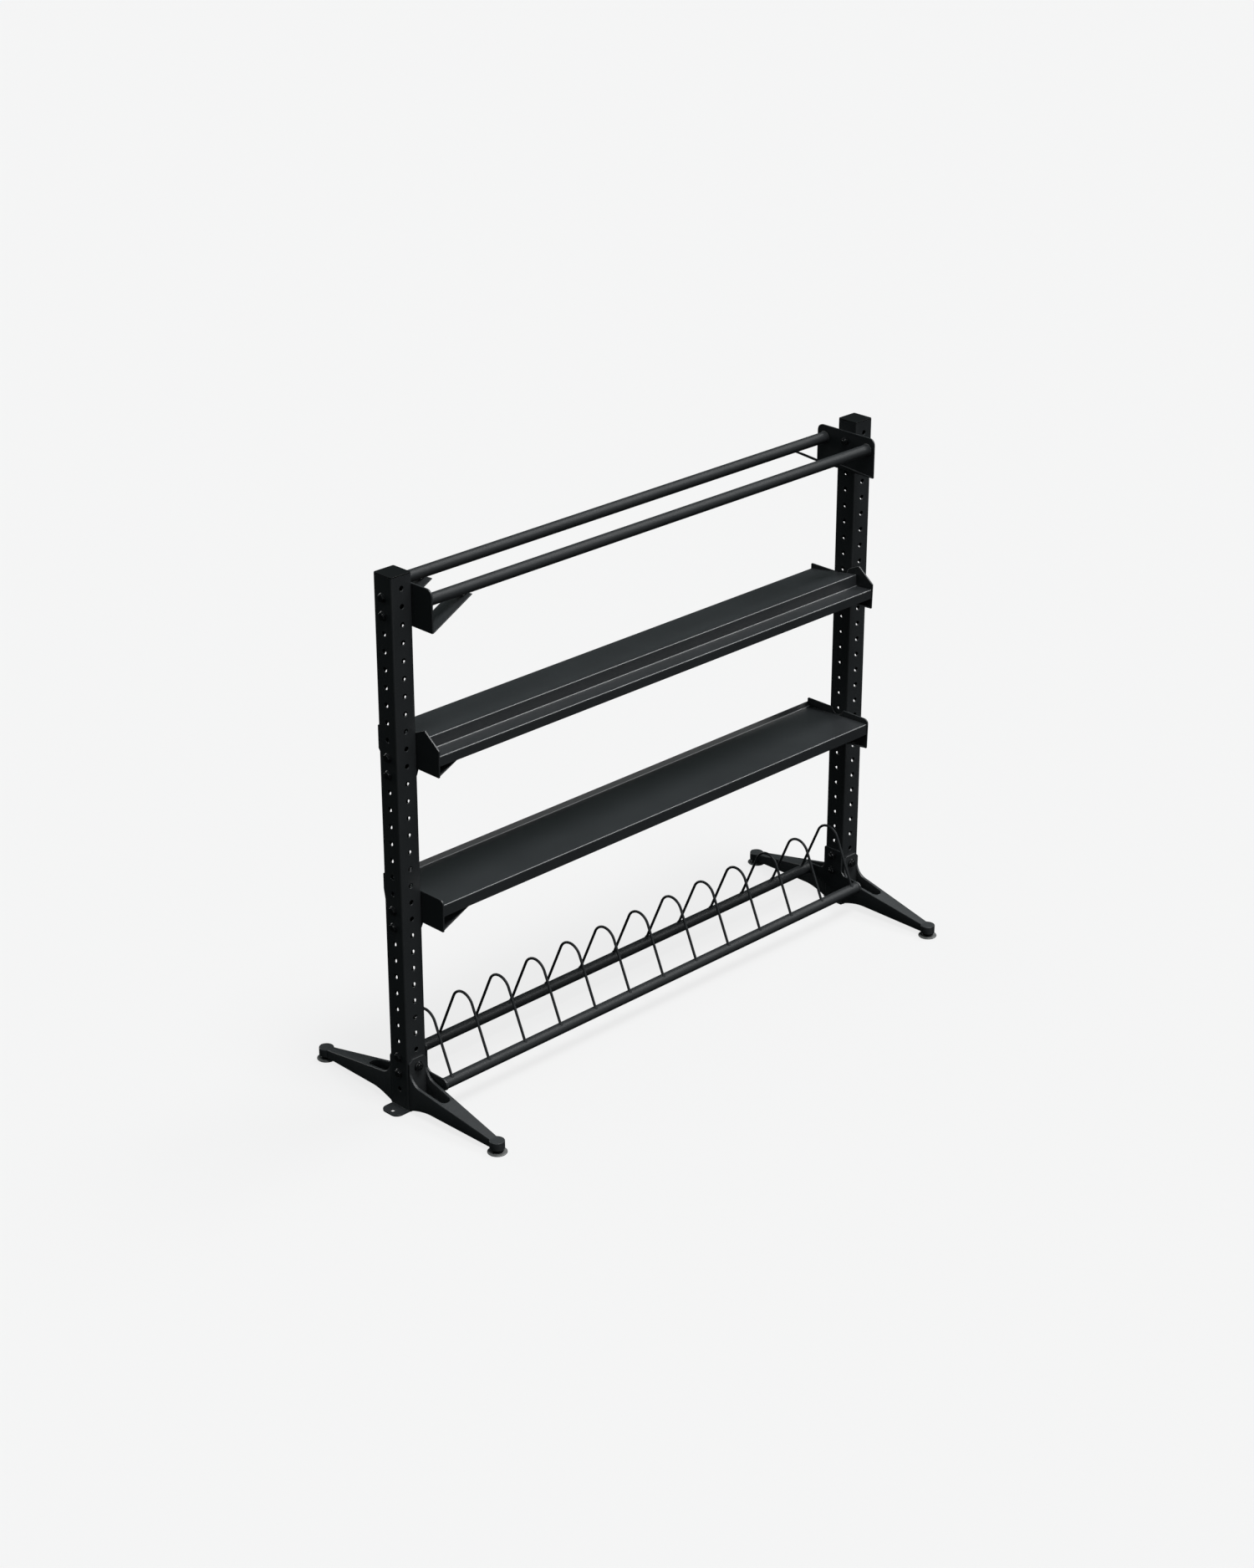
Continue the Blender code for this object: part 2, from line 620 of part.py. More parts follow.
build()
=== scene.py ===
"""Looks of the storage rack: finished meshes, materials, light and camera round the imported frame.

Lengths are metres. X runs along the shelves, -Y is the front and Z is up.
"""
import math

import bmesh
import bpy
from mathutils import Matrix, Vector


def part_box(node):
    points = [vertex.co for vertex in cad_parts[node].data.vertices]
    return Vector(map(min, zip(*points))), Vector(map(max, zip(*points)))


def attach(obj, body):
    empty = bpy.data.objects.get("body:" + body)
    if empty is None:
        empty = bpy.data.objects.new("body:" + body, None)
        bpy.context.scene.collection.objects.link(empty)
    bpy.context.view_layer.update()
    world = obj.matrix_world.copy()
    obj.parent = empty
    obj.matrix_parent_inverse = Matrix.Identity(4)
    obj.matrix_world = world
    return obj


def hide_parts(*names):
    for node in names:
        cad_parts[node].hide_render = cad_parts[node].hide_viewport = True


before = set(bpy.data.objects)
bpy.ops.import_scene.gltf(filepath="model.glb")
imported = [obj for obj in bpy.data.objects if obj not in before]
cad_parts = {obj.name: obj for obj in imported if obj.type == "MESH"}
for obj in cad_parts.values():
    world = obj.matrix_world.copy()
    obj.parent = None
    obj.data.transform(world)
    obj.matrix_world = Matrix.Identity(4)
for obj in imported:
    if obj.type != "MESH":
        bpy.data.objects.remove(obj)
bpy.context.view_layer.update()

RACK = "rack"
GAP = 0.0003                 # between faces that meet
SIDES = (("left", -1), ("right", 1))
ENDS = (("front", -1), ("rear", 1))


# ---------------------------------------------------------------- materials
class Nodes:
    """Short hand for building a node tree."""

    def __init__(self, name):
        self.mat = bpy.data.materials.new(name)
        self.mat.use_nodes = True
        self.tree = self.mat.node_tree
        self.shader = self.tree.nodes["Principled BSDF"]
        coords = self.tree.nodes.new("ShaderNodeTexCoord")
        self.place = coords.outputs["Object"]

    def add(self, kind, **settings):
        node = self.tree.nodes.new("ShaderNode" + kind)
        for key, value in settings.items():
            setattr(node, key, value)
        return node

    def link(self, out, into):
        self.tree.links.new(out, into)

    def noise(self, scale, detail=2.0, roughness=0.5):
        node = self.add("TexNoise")
        node.inputs["Scale"].default_value = scale
        node.inputs["Detail"].default_value = detail
        node.inputs["Roughness"].default_value = roughness
        self.link(self.place, node.inputs["Vector"])
        return node.outputs["Fac"]

    def spread(self, value, low, high, out_low, out_high):
        node = self.add("MapRange")
        for key, number in (("From Min", low), ("From Max", high),
                            ("To Min", out_low), ("To Max", out_high)):
            node.inputs[key].default_value = number
        self.link(value, node.inputs["Value"])
        return node.outputs["Result"]

    def mix(self, factor, first, second):
        node = self.add("MixRGB")
        node.inputs["Color1"].default_value = (*first, 1.0)
        node.inputs["Color2"].default_value = (*second, 1.0)
        self.link(factor, node.inputs["Fac"])
        return node.outputs["Color"]

    def bump(self, height, strength, distance, normal=None):
        node = self.add("Bump")
        node.inputs["Strength"].default_value = strength
        node.inputs["Distance"].default_value = distance
        self.link(height, node.inputs["Height"])
        if normal is not None:
            self.link(normal, node.inputs["Normal"])
        return node.outputs["Normal"]


def coated_metal(name, dark, light, rough_low, rough_high, grain, grain_depth, specular):
    """Painted steel: a fine orange-peel grain over slow drifts in shade and gloss."""
    n = Nodes(name)
    drift = n.noise(9.0, 3.0)
    speckle = n.noise(grain, 3.0, 0.6)
    shade = n.spread(drift, 0.30, 0.70, 0.0, 1.0)
    n.link(n.mix(shade, dark, light), n.shader.inputs["Base Color"])
    n.link(n.spread(speckle, 0.30, 0.70, rough_low, rough_high), n.shader.inputs["Roughness"])
    peel = n.bump(speckle, 0.35, grain_depth)
    n.link(n.bump(n.noise(grain * 0.22, 2.0), 0.20, grain_depth * 2.0, peel),
           n.shader.inputs["Normal"])
    n.shader.inputs["Specular IOR Level"].default_value = specular
    return n.mat


def plated_steel():
    """Black zinc of the fasteners: semi-metallic, with faint turning marks."""
    n = Nodes("black_zinc")
    cloud = n.noise(160.0, 4.0)
    n.link(n.mix(n.spread(cloud, 0.35, 0.65, 0.0, 1.0), (0.009, 0.010, 0.011),
                 (0.016, 0.017, 0.018)), n.shader.inputs["Base Color"])
    n.link(n.spread(cloud, 0.30, 0.70, 0.18, 0.28), n.shader.inputs["Roughness"])
    n.link(n.bump(n.noise(900.0, 2.0), 0.15, 0.00003), n.shader.inputs["Normal"])
    n.shader.inputs["Metallic"].default_value = 0.30
    return n.mat


def moulded_grey():
    """Grey nylon of the levelling pads."""
    n = Nodes("pad_nylon")
    cloud = n.noise(70.0, 3.0)
    n.link(n.mix(n.spread(cloud, 0.35, 0.65, 0.0, 1.0), (0.105, 0.107, 0.105),
                 (0.140, 0.142, 0.140)), n.shader.inputs["Base Color"])
    n.link(n.spread(cloud, 0.30, 0.70, 0.42, 0.58), n.shader.inputs["Roughness"])
    n.link(n.bump(n.noise(700.0, 3.0), 0.25, 0.00005), n.shader.inputs["Normal"])
    return n.mat


COAT = coated_metal("powder_coat", (0.0254, 0.0278, 0.0298), (0.0300, 0.0328, 0.0351),
                    0.31, 0.40, 1100.0, 0.00003, 0.50)
CAST = coated_metal("cast_coat", (0.0290, 0.0314, 0.0334), (0.0356, 0.0384, 0.0408),
                    0.38, 0.50, 650.0, 0.00008, 0.50)
# painted highlight: a pale grey coat for the crests of the shelf bends, standing in for the bright
# lines that light draws along them
PAINTED_BEND_HIGHLIGHT = coated_metal("bend_highlight_paint", (0.20, 0.205, 0.21), (0.24, 0.245, 0.25),
                     0.31, 0.40, 1100.0, 0.00003, 0.50)
BAR = coated_metal("bar_coat", (0.0244, 0.0264, 0.0284), (0.0292, 0.0316, 0.0338),
                   0.44, 0.52, 1500.0, 0.00002, 0.22)
PLUG = coated_metal("cap_plastic", (0.0042, 0.0050, 0.0054), (0.0055, 0.0064, 0.0068),
                    0.36, 0.48, 900.0, 0.00003, 0.12)
ZINC = plated_steel()
NYLON = moulded_grey()


# ---------------------------------------------------------------- mesh helpers
def arc(center, radius, start, end, steps):
    """Points on an arc, angles in degrees."""
    points = []
    for i in range(steps + 1):
        a = math.radians(start + (end - start) * i / steps)
        points.append((center[0] + radius * math.cos(a), center[1] + radius * math.sin(a)))
    return points


def circle(center, radius, sides):
    return arc(center, radius, 0, 360, sides)[:-1]


def corner_curve(before, here, after, radius, steps, share):
    """Points of a bend in place of a corner; it takes at most a share of either side."""
    back, ahead = before - here, after - here
    half = back.angle(ahead) / 2
    cut = min(radius / math.tan(half), share * back.length, share * ahead.length)
    start, end = here + back.normalized() * cut, here + ahead.normalized() * cut
    return [start * (1 - t) ** 2 + here * 2 * t * (1 - t) + end * t ** 2
            for t in (k / steps for k in range(steps + 1))]


def rounded(points, radius, steps=5):
    """An outline with its corners rounded; radius may be one number or one for each corner."""
    radii = radius if isinstance(radius, (list, tuple)) else [radius] * len(points)
    out = []
    for i, corner in enumerate(points):
        here = Vector(corner)
        if radii[i] <= 0.0:
            out.append(tuple(here))
            continue
        before, after = Vector(points[i - 1]), Vector(points[(i + 1) % len(points)])
        out += [tuple(p) for p in corner_curve(before, here, after, radii[i], steps, 0.49)]
    return out


def place(a, b, depth, axis):
    """A point of an outline drawn in the plane across axis: YZ for X, XZ for Y, XY for Z."""
    return {"X": (depth, a, b), "Y": (a, depth, b), "Z": (a, b, depth)}[axis]


def prism(outline, low, high, axis, holes=()):
    """Extrude a closed outline along an axis; holes are inner outlines."""
    bm = bmesh.new()
    caps = []
    for depth in (low, high):
        rings = []
        edges = []
        for points in (outline, *holes):
            verts = [bm.verts.new(place(a, b, depth, axis)) for a, b in points]
            edges += [bm.edges.new((verts[i - 1], verts[i])) for i in range(len(verts))]
            rings.append(verts)
        if holes:
            bmesh.ops.triangle_fill(bm, edges=edges, use_beauty=True)
        else:
            bm.faces.new(rings[0])
        caps.append(rings)
    for lower, upper in zip(*caps):
        for i in range(len(lower)):
            bm.faces.new((lower[i - 1], lower[i], upper[i], upper[i - 1]))
    return bm


def skin(rings, closed_ends=True, loop=False):
    """Mesh from rings of points, each joined to the next; loop also joins the last to the first."""
    bm = bmesh.new()
    made = [[bm.verts.new(p) for p in ring] for ring in rings]
    pairs = list(zip(made, made[1:]))
    if loop:
        pairs.append((made[-1], made[0]))
    for lower, upper in pairs:
        for i in range(len(lower)):
            bm.faces.new((lower[i - 1], lower[i], upper[i], upper[i - 1]))
    if closed_ends and not loop:
        bm.faces.new(made[0])
        bm.faces.new(made[-1])
    return bm


def turned(profile, sides):
    """Solid turned about Z from (radius, z) points, bottom to top."""
    return skin([[(x, y, z) for x, y in circle((0, 0), r, sides)] for r, z in profile])


def join(*parts):
    """Several bmeshes as one, each a shell of its own."""
    whole = bmesh.new()
    for part in parts:
        mesh = bpy.data.meshes.new("part")
        part.to_mesh(mesh)
        part.free()
        whole.from_mesh(mesh)
        bpy.data.meshes.remove(mesh)
    return whole


def moved(bm, matrix):
    bmesh.ops.transform(bm, matrix=matrix, verts=bm.verts)
    return bm


def finish_mesh(name, bm, mat, smooth_angle):
    bmesh.ops.recalc_face_normals(bm, faces=bm.faces)
    mesh = bpy.data.meshes.new(name)
    bm.to_mesh(mesh)
    bm.free()
    mesh.shade_smooth()
    mesh.set_sharp_from_angle(angle=math.radians(smooth_angle))
    mesh.materials.append(mat)
    return mesh


def piece(name, shape, mat, body=RACK, replaces=(), bevel=0.0, matrix=None, angle=30):
    """Put a finished piece in the scene; shape is a bmesh, or a finished mesh to share."""
    mesh = shape if isinstance(shape, bpy.types.Mesh) else finish_mesh(name, shape, mat, angle)
    obj = bpy.data.objects.new(name, mesh)
    bpy.context.scene.collection.objects.link(obj)
    if matrix is not None:
        obj.matrix_world = matrix
    if bevel:
        edges = obj.modifiers.new("edges", "BEVEL")
        edges.width = bevel
        edges.segments = 3
        edges.limit_method = "ANGLE"
        edges.angle_limit = math.radians(35)
        edges.harden_normals = True
        flats = obj.modifiers.new("flat_faces", "WEIGHTED_NORMAL")
        flats.keep_sharp = True
    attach(obj, body)
    if replaces:
        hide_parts(*replaces)
    return obj


def at(x, y, z, turn=None):
    return Matrix.Translation((x, y, z)) @ (turn or Matrix.Identity(4))


def facing(axis):
    """Rotation that turns local +Z to an axis."""
    return Vector((0, 0, 1)).rotation_difference(Vector(axis)).to_matrix().to_4x4()


# ---------------------------------------------------------------- sizes
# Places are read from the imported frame. What it doesn't hold is named here.
def size(node):
    low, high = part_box(node)
    return low, high, high - low


post_low = size("upright_left")[0]
cap_low, cap_high, _ = size("cap_left")
POST_X = -(cap_low.x + cap_high.x) / 2
POST_HALF = (cap_high.x - cap_low.x) / 2
POST_WALL = 0.003
POST_CORNER = 0.0055
BASE_THICKNESS = 0.0045
BASE_EDGE = 0.0007
TAB_CORNER = 0.022
TAB_HOLE_X = 0.062           # from the middle of the upright
TAB_HOLE_RADIUS = 0.006
CAP_THICKNESS = 0.003
CAP_EDGE = 0.0010

PITCH = 0.050                # of the holes in each wall of an upright
HOLE_RADIUS = 0.007
HOLE_LIP = 0.0006            # soft rim of a hole
HOLE_SIDES = 28
FRONT_HOLE_TOP = cap_high.z - 0.0375
SIDE_HOLE_TOP = FRONT_HOLE_TOP - PITCH / 2
FRONT_HOLES = 29
SIDE_HOLES = 30

PLATE = size("plate_rack_bracket_left")[2].x
PLATE_IN = POST_X - POST_HALF - GAP - PLATE      # inner face of the end plates
PLATE_EDGE = 0.0009          # each name in EDGE is the width of a bevel
STRAP_THICKNESS = 0.003
STRAP_WIDTH = 0.064
STRAP_EDGE = 0.0007
BAR_RADIUS = 0.0165
BAR_CUT = 0.0172             # cut for a bar in a strap
BAR_END = 0.0006             # softened end of a bar

BASE_WELD = 0.0017           # radii of the weld beads
STRAP_WELD = 0.0020
BAR_WELD = 0.0019
ROOT_WELD = 0.0018

HEX_FLATS = 0.019            # bolt heads and nuts, across flats
HEAD_HEIGHT = 0.0060
NUT_HEIGHT = 0.0088
LOCKNUT_HEIGHT = 0.0034
THREAD_RADIUS = 0.0059
THREAD_PITCH = 0.00175
THREAD_DEPTH = 0.0011
WASHER_BORE = 0.0062
WASHER_HEIGHT = 0.0018
FOOT_WASHER_HEIGHT = 0.0020


# ---------------------------------------------------------------- uprights
def wall_panel(bm, row, rows, holes, depth, hole_radius):
    """One flat wall with round holes, between edge points at the heights in rows.

    row turns (along, depth, height) to the wall's own side of the tube. The rims come back, for
    the walls of the holes.
    """
    corner = POST_HALF - POST_CORNER
    rims = []
    verts = {}

    def edge_point(side, z):
        key = (side, round(z, 6))
        if key not in verts:
            verts[key] = bm.verts.new(row(side * corner, depth, z))
        return verts[key]

    def join_edges(loop):
        edges = []
        for i in range(len(loop)):
            pair = (loop[i - 1], loop[i])
            edges.append(bm.edges.get(pair) or bm.edges.new(pair))
        return edges

    i = 0
    while i < len(rows) - 1:
        z = rows[i + 1]
        if i + 2 < len(rows) and any(abs(z - h) < 1e-6 for h in holes):
            border = [edge_point(-1, rows[i]), edge_point(1, rows[i]), edge_point(1, z),
                      edge_point(1, rows[i + 2]), edge_point(-1, rows[i + 2]), edge_point(-1, z)]
            rim = [bm.verts.new(row(a, depth, b))
                   for a, b in circle((0.0, z), hole_radius, HOLE_SIDES)]
            bmesh.ops.triangle_fill(bm, edges=join_edges(border) + join_edges(rim),
                                    use_beauty=True)
            rims.append(rim)
            i += 2
        else:
            bm.faces.new([edge_point(-1, rows[i]), edge_point(1, rows[i]),
                          edge_point(1, rows[i + 1]), edge_point(-1, rows[i + 1])])
            i += 1
    return rims


def post_rows(bottom, top):
    """Heights every half pitch, in step with the holes, with the two ends."""
    low_margin, high_margin = 0.004, 0.001
    step = PITCH / 2
    first = FRONT_HOLE_TOP - step * math.floor((FRONT_HOLE_TOP - bottom - low_margin) / step)
    count = int((top - high_margin - first) / step) + 1
    return [bottom] + [first + step * i for i in range(count)] + [top]


def hole_wall(bm, outside, inside, toward):
    """Wall of one hole, from its rim outside over a soft lip to its rim inside."""
    center = sum((v.co for v in outside), Vector()) / len(outside)
    shrink = HOLE_RADIUS / (HOLE_RADIUS + HOLE_LIP)
    ring = [bm.verts.new(center + (v.co - center) * shrink + toward * HOLE_LIP) for v in outside]
    for first, second in ((outside, ring), (ring, inside)):
        for i in range(len(first)):
            bm.faces.new((first[i - 1], first[i], second[i], second[i - 1]))


def rounded_corner(bm, row, rows, radius):
    """Quarter round between one wall and the next."""
    corner = POST_HALF - POST_CORNER
    columns = [[bm.verts.new(row(a, b, z)) for z in rows]
               for a, b in arc((corner, corner), radius, 0, 90, 6)]
    for first, second in zip(columns, columns[1:]):
        for i in range(len(rows) - 1):
            bm.faces.new((first[i], second[i], second[i + 1], first[i + 1]))


def close_ends(bm, middle):
    """Join the outer skin to the inner one round both open ends of the tube."""
    open_edges = [e for e in bm.edges if e.is_boundary]
    bmesh.ops.bridge_loops(bm, edges=[e for e in open_edges if e.verts[0].co.z > middle])
    bmesh.ops.bridge_loops(bm, edges=[e for e in open_edges if e.is_valid and e.is_boundary
                                      and e.verts[0].co.z < middle])


def punched_tube():
    """Square tube with rounded corners and softly rimmed round holes in all four walls."""
    bottom, top = post_low.z + BASE_THICKNESS, cap_high.z - CAP_THICKNESS - GAP
    rows = post_rows(bottom, top)
    front_holes = [FRONT_HOLE_TOP - PITCH * i for i in range(FRONT_HOLES)]
    side_holes = [SIDE_HOLE_TOP - PITCH * i for i in range(SIDE_HOLES)]
    bm = bmesh.new()
    for c, s, holes in ((0, 1, side_holes), (1, 0, front_holes),
                        (0, -1, side_holes), (-1, 0, front_holes)):
        def row(a, depth, z, c=c, s=s):
            return (a * c - depth * s, a * s + depth * c, z)

        outer = wall_panel(bm, row, rows, holes, POST_HALF, HOLE_RADIUS + HOLE_LIP)
        inner = wall_panel(bm, row, rows, holes, POST_HALF - POST_WALL, HOLE_RADIUS)
        for outside, inside in zip(outer, inner):
            hole_wall(bm, outside, inside, Vector(row(0.0, -1.0, 0.0)))
        rounded_corner(bm, row, rows, POST_CORNER)
        rounded_corner(bm, row, rows, POST_CORNER - POST_WALL)
    bmesh.ops.remove_doubles(bm, verts=bm.verts, dist=0.00002)
    close_ends(bm, (bottom + top) / 2)
    return bm


def base_plate():
    """Foot of an upright, drawn for the right side: square under the tube, tab with a hole."""
    reach = -post_low.x - POST_X
    shoulder = POST_HALF + 0.004
    outline = [(-POST_HALF, -POST_HALF), (shoulder, -POST_HALF)]
    outline += arc((reach - TAB_CORNER, TAB_CORNER - POST_HALF), TAB_CORNER, -90, 0, 8)
    outline += arc((reach - TAB_CORNER, POST_HALF - TAB_CORNER), TAB_CORNER, 0, 90, 8)
    outline += [(shoulder, POST_HALF), (-POST_HALF, POST_HALF)]
    hole = circle((TAB_HOLE_X, 0.0), TAB_HOLE_RADIUS, HOLE_SIDES)
    return prism(outline, post_low.z, post_low.z + BASE_THICKNESS, "Z", (hole,))


def square(half):
    """Corners of a square outline about the origin."""
    return [(half, -half), (half, half), (-half, half), (-half, -half)]


def weld_bead(path, radius, closed=False):
    """A round seam along a path, swelling a little with each pass of the torch."""
    ripple = 0.18
    pitch = 0.0035
    sides = 8
    points = [Vector(p) for p in path]
    if closed:
        points.append(points[0])
    lengths = [0.0]
    for a, b in zip(points, points[1:]):
        lengths.append(lengths[-1] + (b - a).length)
    steps = max(8, int(lengths[-1] / pitch * 3))
    rings = []
    for i in range(steps if closed else steps + 1):
        s = lengths[-1] * i / steps
        k = max(j for j in range(len(points) - 1) if lengths[j] <= s + 1e-9)
        span = max(lengths[k + 1] - lengths[k], 1e-9)
        here = points[k].lerp(points[k + 1], (s - lengths[k]) / span)
        along = (points[k + 1] - points[k]).normalized()
        side = along.orthogonal().normalized()
        other = along.cross(side)
        swell = radius * (1 + ripple * math.sin(2 * math.pi * s / pitch))
        rings.append([here + side * a + other * b for a, b in circle((0, 0), swell, sides)])
    return skin(rings, loop=closed)


def make_uprights():
    tube = finish_mesh("upright_tube", punched_tube(), COAT, 25)
    for name, side in SIDES:
        piece(f"upright_{name}_tube", tube, COAT,
              replaces=(f"upright_{name}",), matrix=at(side * POST_X, 0, 0))
        turn = Matrix.Rotation(0 if side > 0 else math.pi, 4, "Z")
        piece(f"upright_{name}_base", base_plate(), COAT, bevel=BASE_EDGE,
              replaces=(f"upright_{name}",), matrix=at(side * POST_X, 0, 0, turn))
        seam = [(side * POST_X + a, b, post_low.z + BASE_THICKNESS + 0.0007)
                for a, b in rounded(square(POST_HALF + 0.0006), POST_CORNER)]
        piece(f"upright_{name}_weld", weld_bead(seam, BASE_WELD, closed=True), COAT,
              replaces=(f"upright_{name}",))


def make_caps():
    for name, side in SIDES:
        outline = rounded(square(POST_HALF - 0.0004), POST_CORNER, 6)
        low = cap_high.z - CAP_THICKNESS
        piece(f"cap_{name}_top", prism(outline, low, cap_high.z, "Z"), PLUG,
              bevel=CAP_EDGE, replaces=(f"cap_{name}",), matrix=at(side * POST_X, 0, 0))


# ---------------------------------------------------------------- fasteners
def hex_radius(angle):
    """Distance from the axis to the side of a hexagon, at an angle."""
    sector = math.radians(60)
    off = (angle + sector / 2) % sector - sector / 2
    return HEX_FLATS / 2 / math.cos(off)


def hex_solid(height, both_ends=False):
    """Hexagon with the turned chamfer of a bolt head, or with both of a nut's."""
    sides = 60
    rim = HEX_FLATS / 2 * 0.985
    slope = math.tan(math.radians(30))
    rings = []
    for level in range(17):
        z = height * level / 16
        limit = rim + (height - z) / slope
        if both_ends:
            limit = min(limit, rim + z / slope)
        ring = []
        for k in range(sides):
            a = 2 * math.pi * k / sides
            r = min(hex_radius(a), limit)
            ring.append((r * math.cos(a), r * math.sin(a), z))
        rings.append(ring)
    return skin(rings)


def threaded_rod(low, high):
    """Screw thread as one winding surface, chamfered at its upper end."""
    sides = 20
    per_turn = 6
    tip_radius = THREAD_RADIUS - 0.0016
    count = max(2, int((high - low) / THREAD_PITCH * per_turn))
    rings = []
    for i in range(count + 1):
        z = low + (high - low) * i / count
        ring = []
        for k in range(sides):
            turn = (z / THREAD_PITCH - k / sides) % 1.0
            cut = THREAD_DEPTH * (1 - abs(2 * turn - 1))
            r = min(THREAD_RADIUS - cut, tip_radius + high - z)
            a = 2 * math.pi * k / sides
            ring.append((r * math.cos(a), r * math.sin(a), z))
        rings.append(ring)
    return skin(rings)


def washer(radius, height):
    edge = 0.0004
    section = [(WASHER_BORE, 0.0), (radius - edge, 0.0), (radius, edge), (radius, height - edge),
               (radius - edge, height), (WASHER_BORE, height)]
    rings = [[(x, y, z) for x, y in circle((0, 0), r, 40)] for r, z in section]
    return skin(rings, closed_ends=False, loop=True)


def flanged_head():
    """Bolt head seated at z 0 and rising along +Z: a turned skirt and a hexagon."""
    skirt = turned([(0.0128, 0.0), (0.0132, 0.0004), (0.0132, 0.0013), (0.0126, 0.0020),
                    (0.0104, 0.0030)], 48)
    return join(skirt, moved(hex_solid(HEAD_HEIGHT), at(0, 0, 0.0022)))


def make_bolt_looks():
    """Head outside, washer, nut and thread end inside, for each bolt through an upright."""
    head = finish_mesh("bolt_head", flanged_head(), ZINC, 40)
    ring = finish_mesh("bolt_washer", washer(0.0120, WASHER_HEIGHT), ZINC, 40)
    nut = finish_mesh("bolt_nut", hex_solid(NUT_HEIGHT, both_ends=True), ZINC, 40)
    tip = finish_mesh("bolt_tip", threaded_rod(-0.004, 0.0120), ZINC, 50)
    for level in ("rail", "step_shelf", "tray_shelf", "plate_rack"):
        for name, side in SIDES:
            for k, label in enumerate(("upper", "lower")):
                node = f"bolt_{level}_{name}_{label}"
                low, high, _ = size(node)
                y, z = (low.y + high.y) / 2, (low.z + high.z) / 2
                # tightened bolts stop at any angle
                spin = Matrix.Rotation(math.radians(17 + 23 * k + 11 * side), 4, "Z")
                out = at(side * (POST_X + POST_HALF + GAP), y, z, facing((side, 0, 0)) @ spin)
                piece(node + "_head", head, ZINC, replaces=(node,), matrix=out)
                inner = at(side * PLATE_IN, y, z, facing((-side, 0, 0)) @ spin)
                piece(node + "_washer", ring, ZINC, replaces=(node,), matrix=inner)
                seat = inner @ Matrix.Translation((0, 0, WASHER_HEIGHT))
                piece(node + "_nut", nut, ZINC, replaces=(node,), matrix=seat)
                piece(node + "_thread", tip, ZINC, replaces=(node,), matrix=inner)


# ---------------------------------------------------------------- plates and straps
def plate_range(side):
    """Lower and upper x of the end plates on one side."""
    return sorted((side * PLATE_IN, side * (PLATE_IN + PLATE)))


def strap(side, foot_z, slope, reach, y_low, name, node, bar=None):
    """Sloped strap from an end plate up and inwards, its foot set a little into the plate.

    bar is the (y, z) of a round bar that lies in a cut in the strap's upper end.
    """
    start = PLATE_IN + 0.0010
    y_high = y_low + STRAP_WIDTH
    length = reach / math.cos(slope)
    outline = [(0.0, y_low), (length, y_low)]
    if bar:
        y, z = bar
        middle = (z - foot_z - STRAP_THICKNESS / 2 / math.cos(slope)) / math.sin(slope)
        for a in range(-90, 91, 5):
            along = middle - BAR_CUT / math.sin(slope) * math.cos(math.radians(a))
            if along < length:
                outline.append((along, y + BAR_CUT * math.sin(math.radians(a))))
    outline += [(length, y_high), (0.0, y_high)]
    turn = Matrix(((-side * math.cos(slope), 0, side * math.sin(slope), side * start),
                   (0, 1, 0, 0),
                   (math.sin(slope), 0, math.cos(slope), foot_z),
                   (0, 0, 0, 1)))
    sheet = moved(prism(outline, 0.0, STRAP_THICKNESS, "Z"), turn)
    piece(name, sheet, COAT, bevel=STRAP_EDGE, replaces=(node,))
    seam_z = foot_z + STRAP_THICKNESS / math.cos(slope) + 0.0006
    seam = [(side * (PLATE_IN - 0.0006), y, seam_z) for y in (y_low + 0.006, y_high - 0.006)]
    piece(name + "_weld", weld_bead(seam, STRAP_WELD), COAT, replaces=(node,))


def bar_weld(side, y, z, radius):
    """Weld round a bar's end, on the inner face of an end plate."""
    path = [(side * (PLATE_IN - 0.0008), a, b) for a, b in circle((y, z), radius, 48)]
    return weld_bead(path, BAR_WELD, closed=True)


RAIL_STRAP_SLOPE = math.radians(27.8)
RAIL_STRAP_REACH = 0.137
RAIL_PLATE_FOOT = 0.003      # corner radii of the rails' end plates
RAIL_PLATE_TOP = 0.022


def make_rail_brackets():
    low, high, _ = size("rail_bracket_left")
    rail_low, rail_high, _ = size("rail_front")
    rail_z = (rail_low.z + rail_high.z) / 2
    rail_y = (rail_low.y + rail_high.y) / 2
    for name, side in SIDES:
        node = f"rail_bracket_{name}"
        outline = rounded([(low.y, low.z), (high.y, low.z), (high.y, high.z), (low.y, high.z)],
                          [RAIL_PLATE_FOOT] * 2 + [RAIL_PLATE_TOP] * 2, 8)
        piece(node + "_plate", prism(outline, *plate_range(side), "X"), COAT,
              bevel=PLATE_EDGE, replaces=(node,))
        for end, y_low in (("front", low.y), ("rear", high.y - STRAP_WIDTH)):
            bar = (math.copysign(rail_y, y_low + STRAP_WIDTH / 2), rail_z)
            strap(side, low.z, RAIL_STRAP_SLOPE, RAIL_STRAP_REACH, y_low,
                  f"{node}_strap_{end}", node, bar)
        for end, y in (("front", rail_y), ("rear", -rail_y)):
            piece(f"{node}_weld_{end}", bar_weld(side, y, rail_z, BAR_RADIUS + GAP), COAT,
                  replaces=(node,))


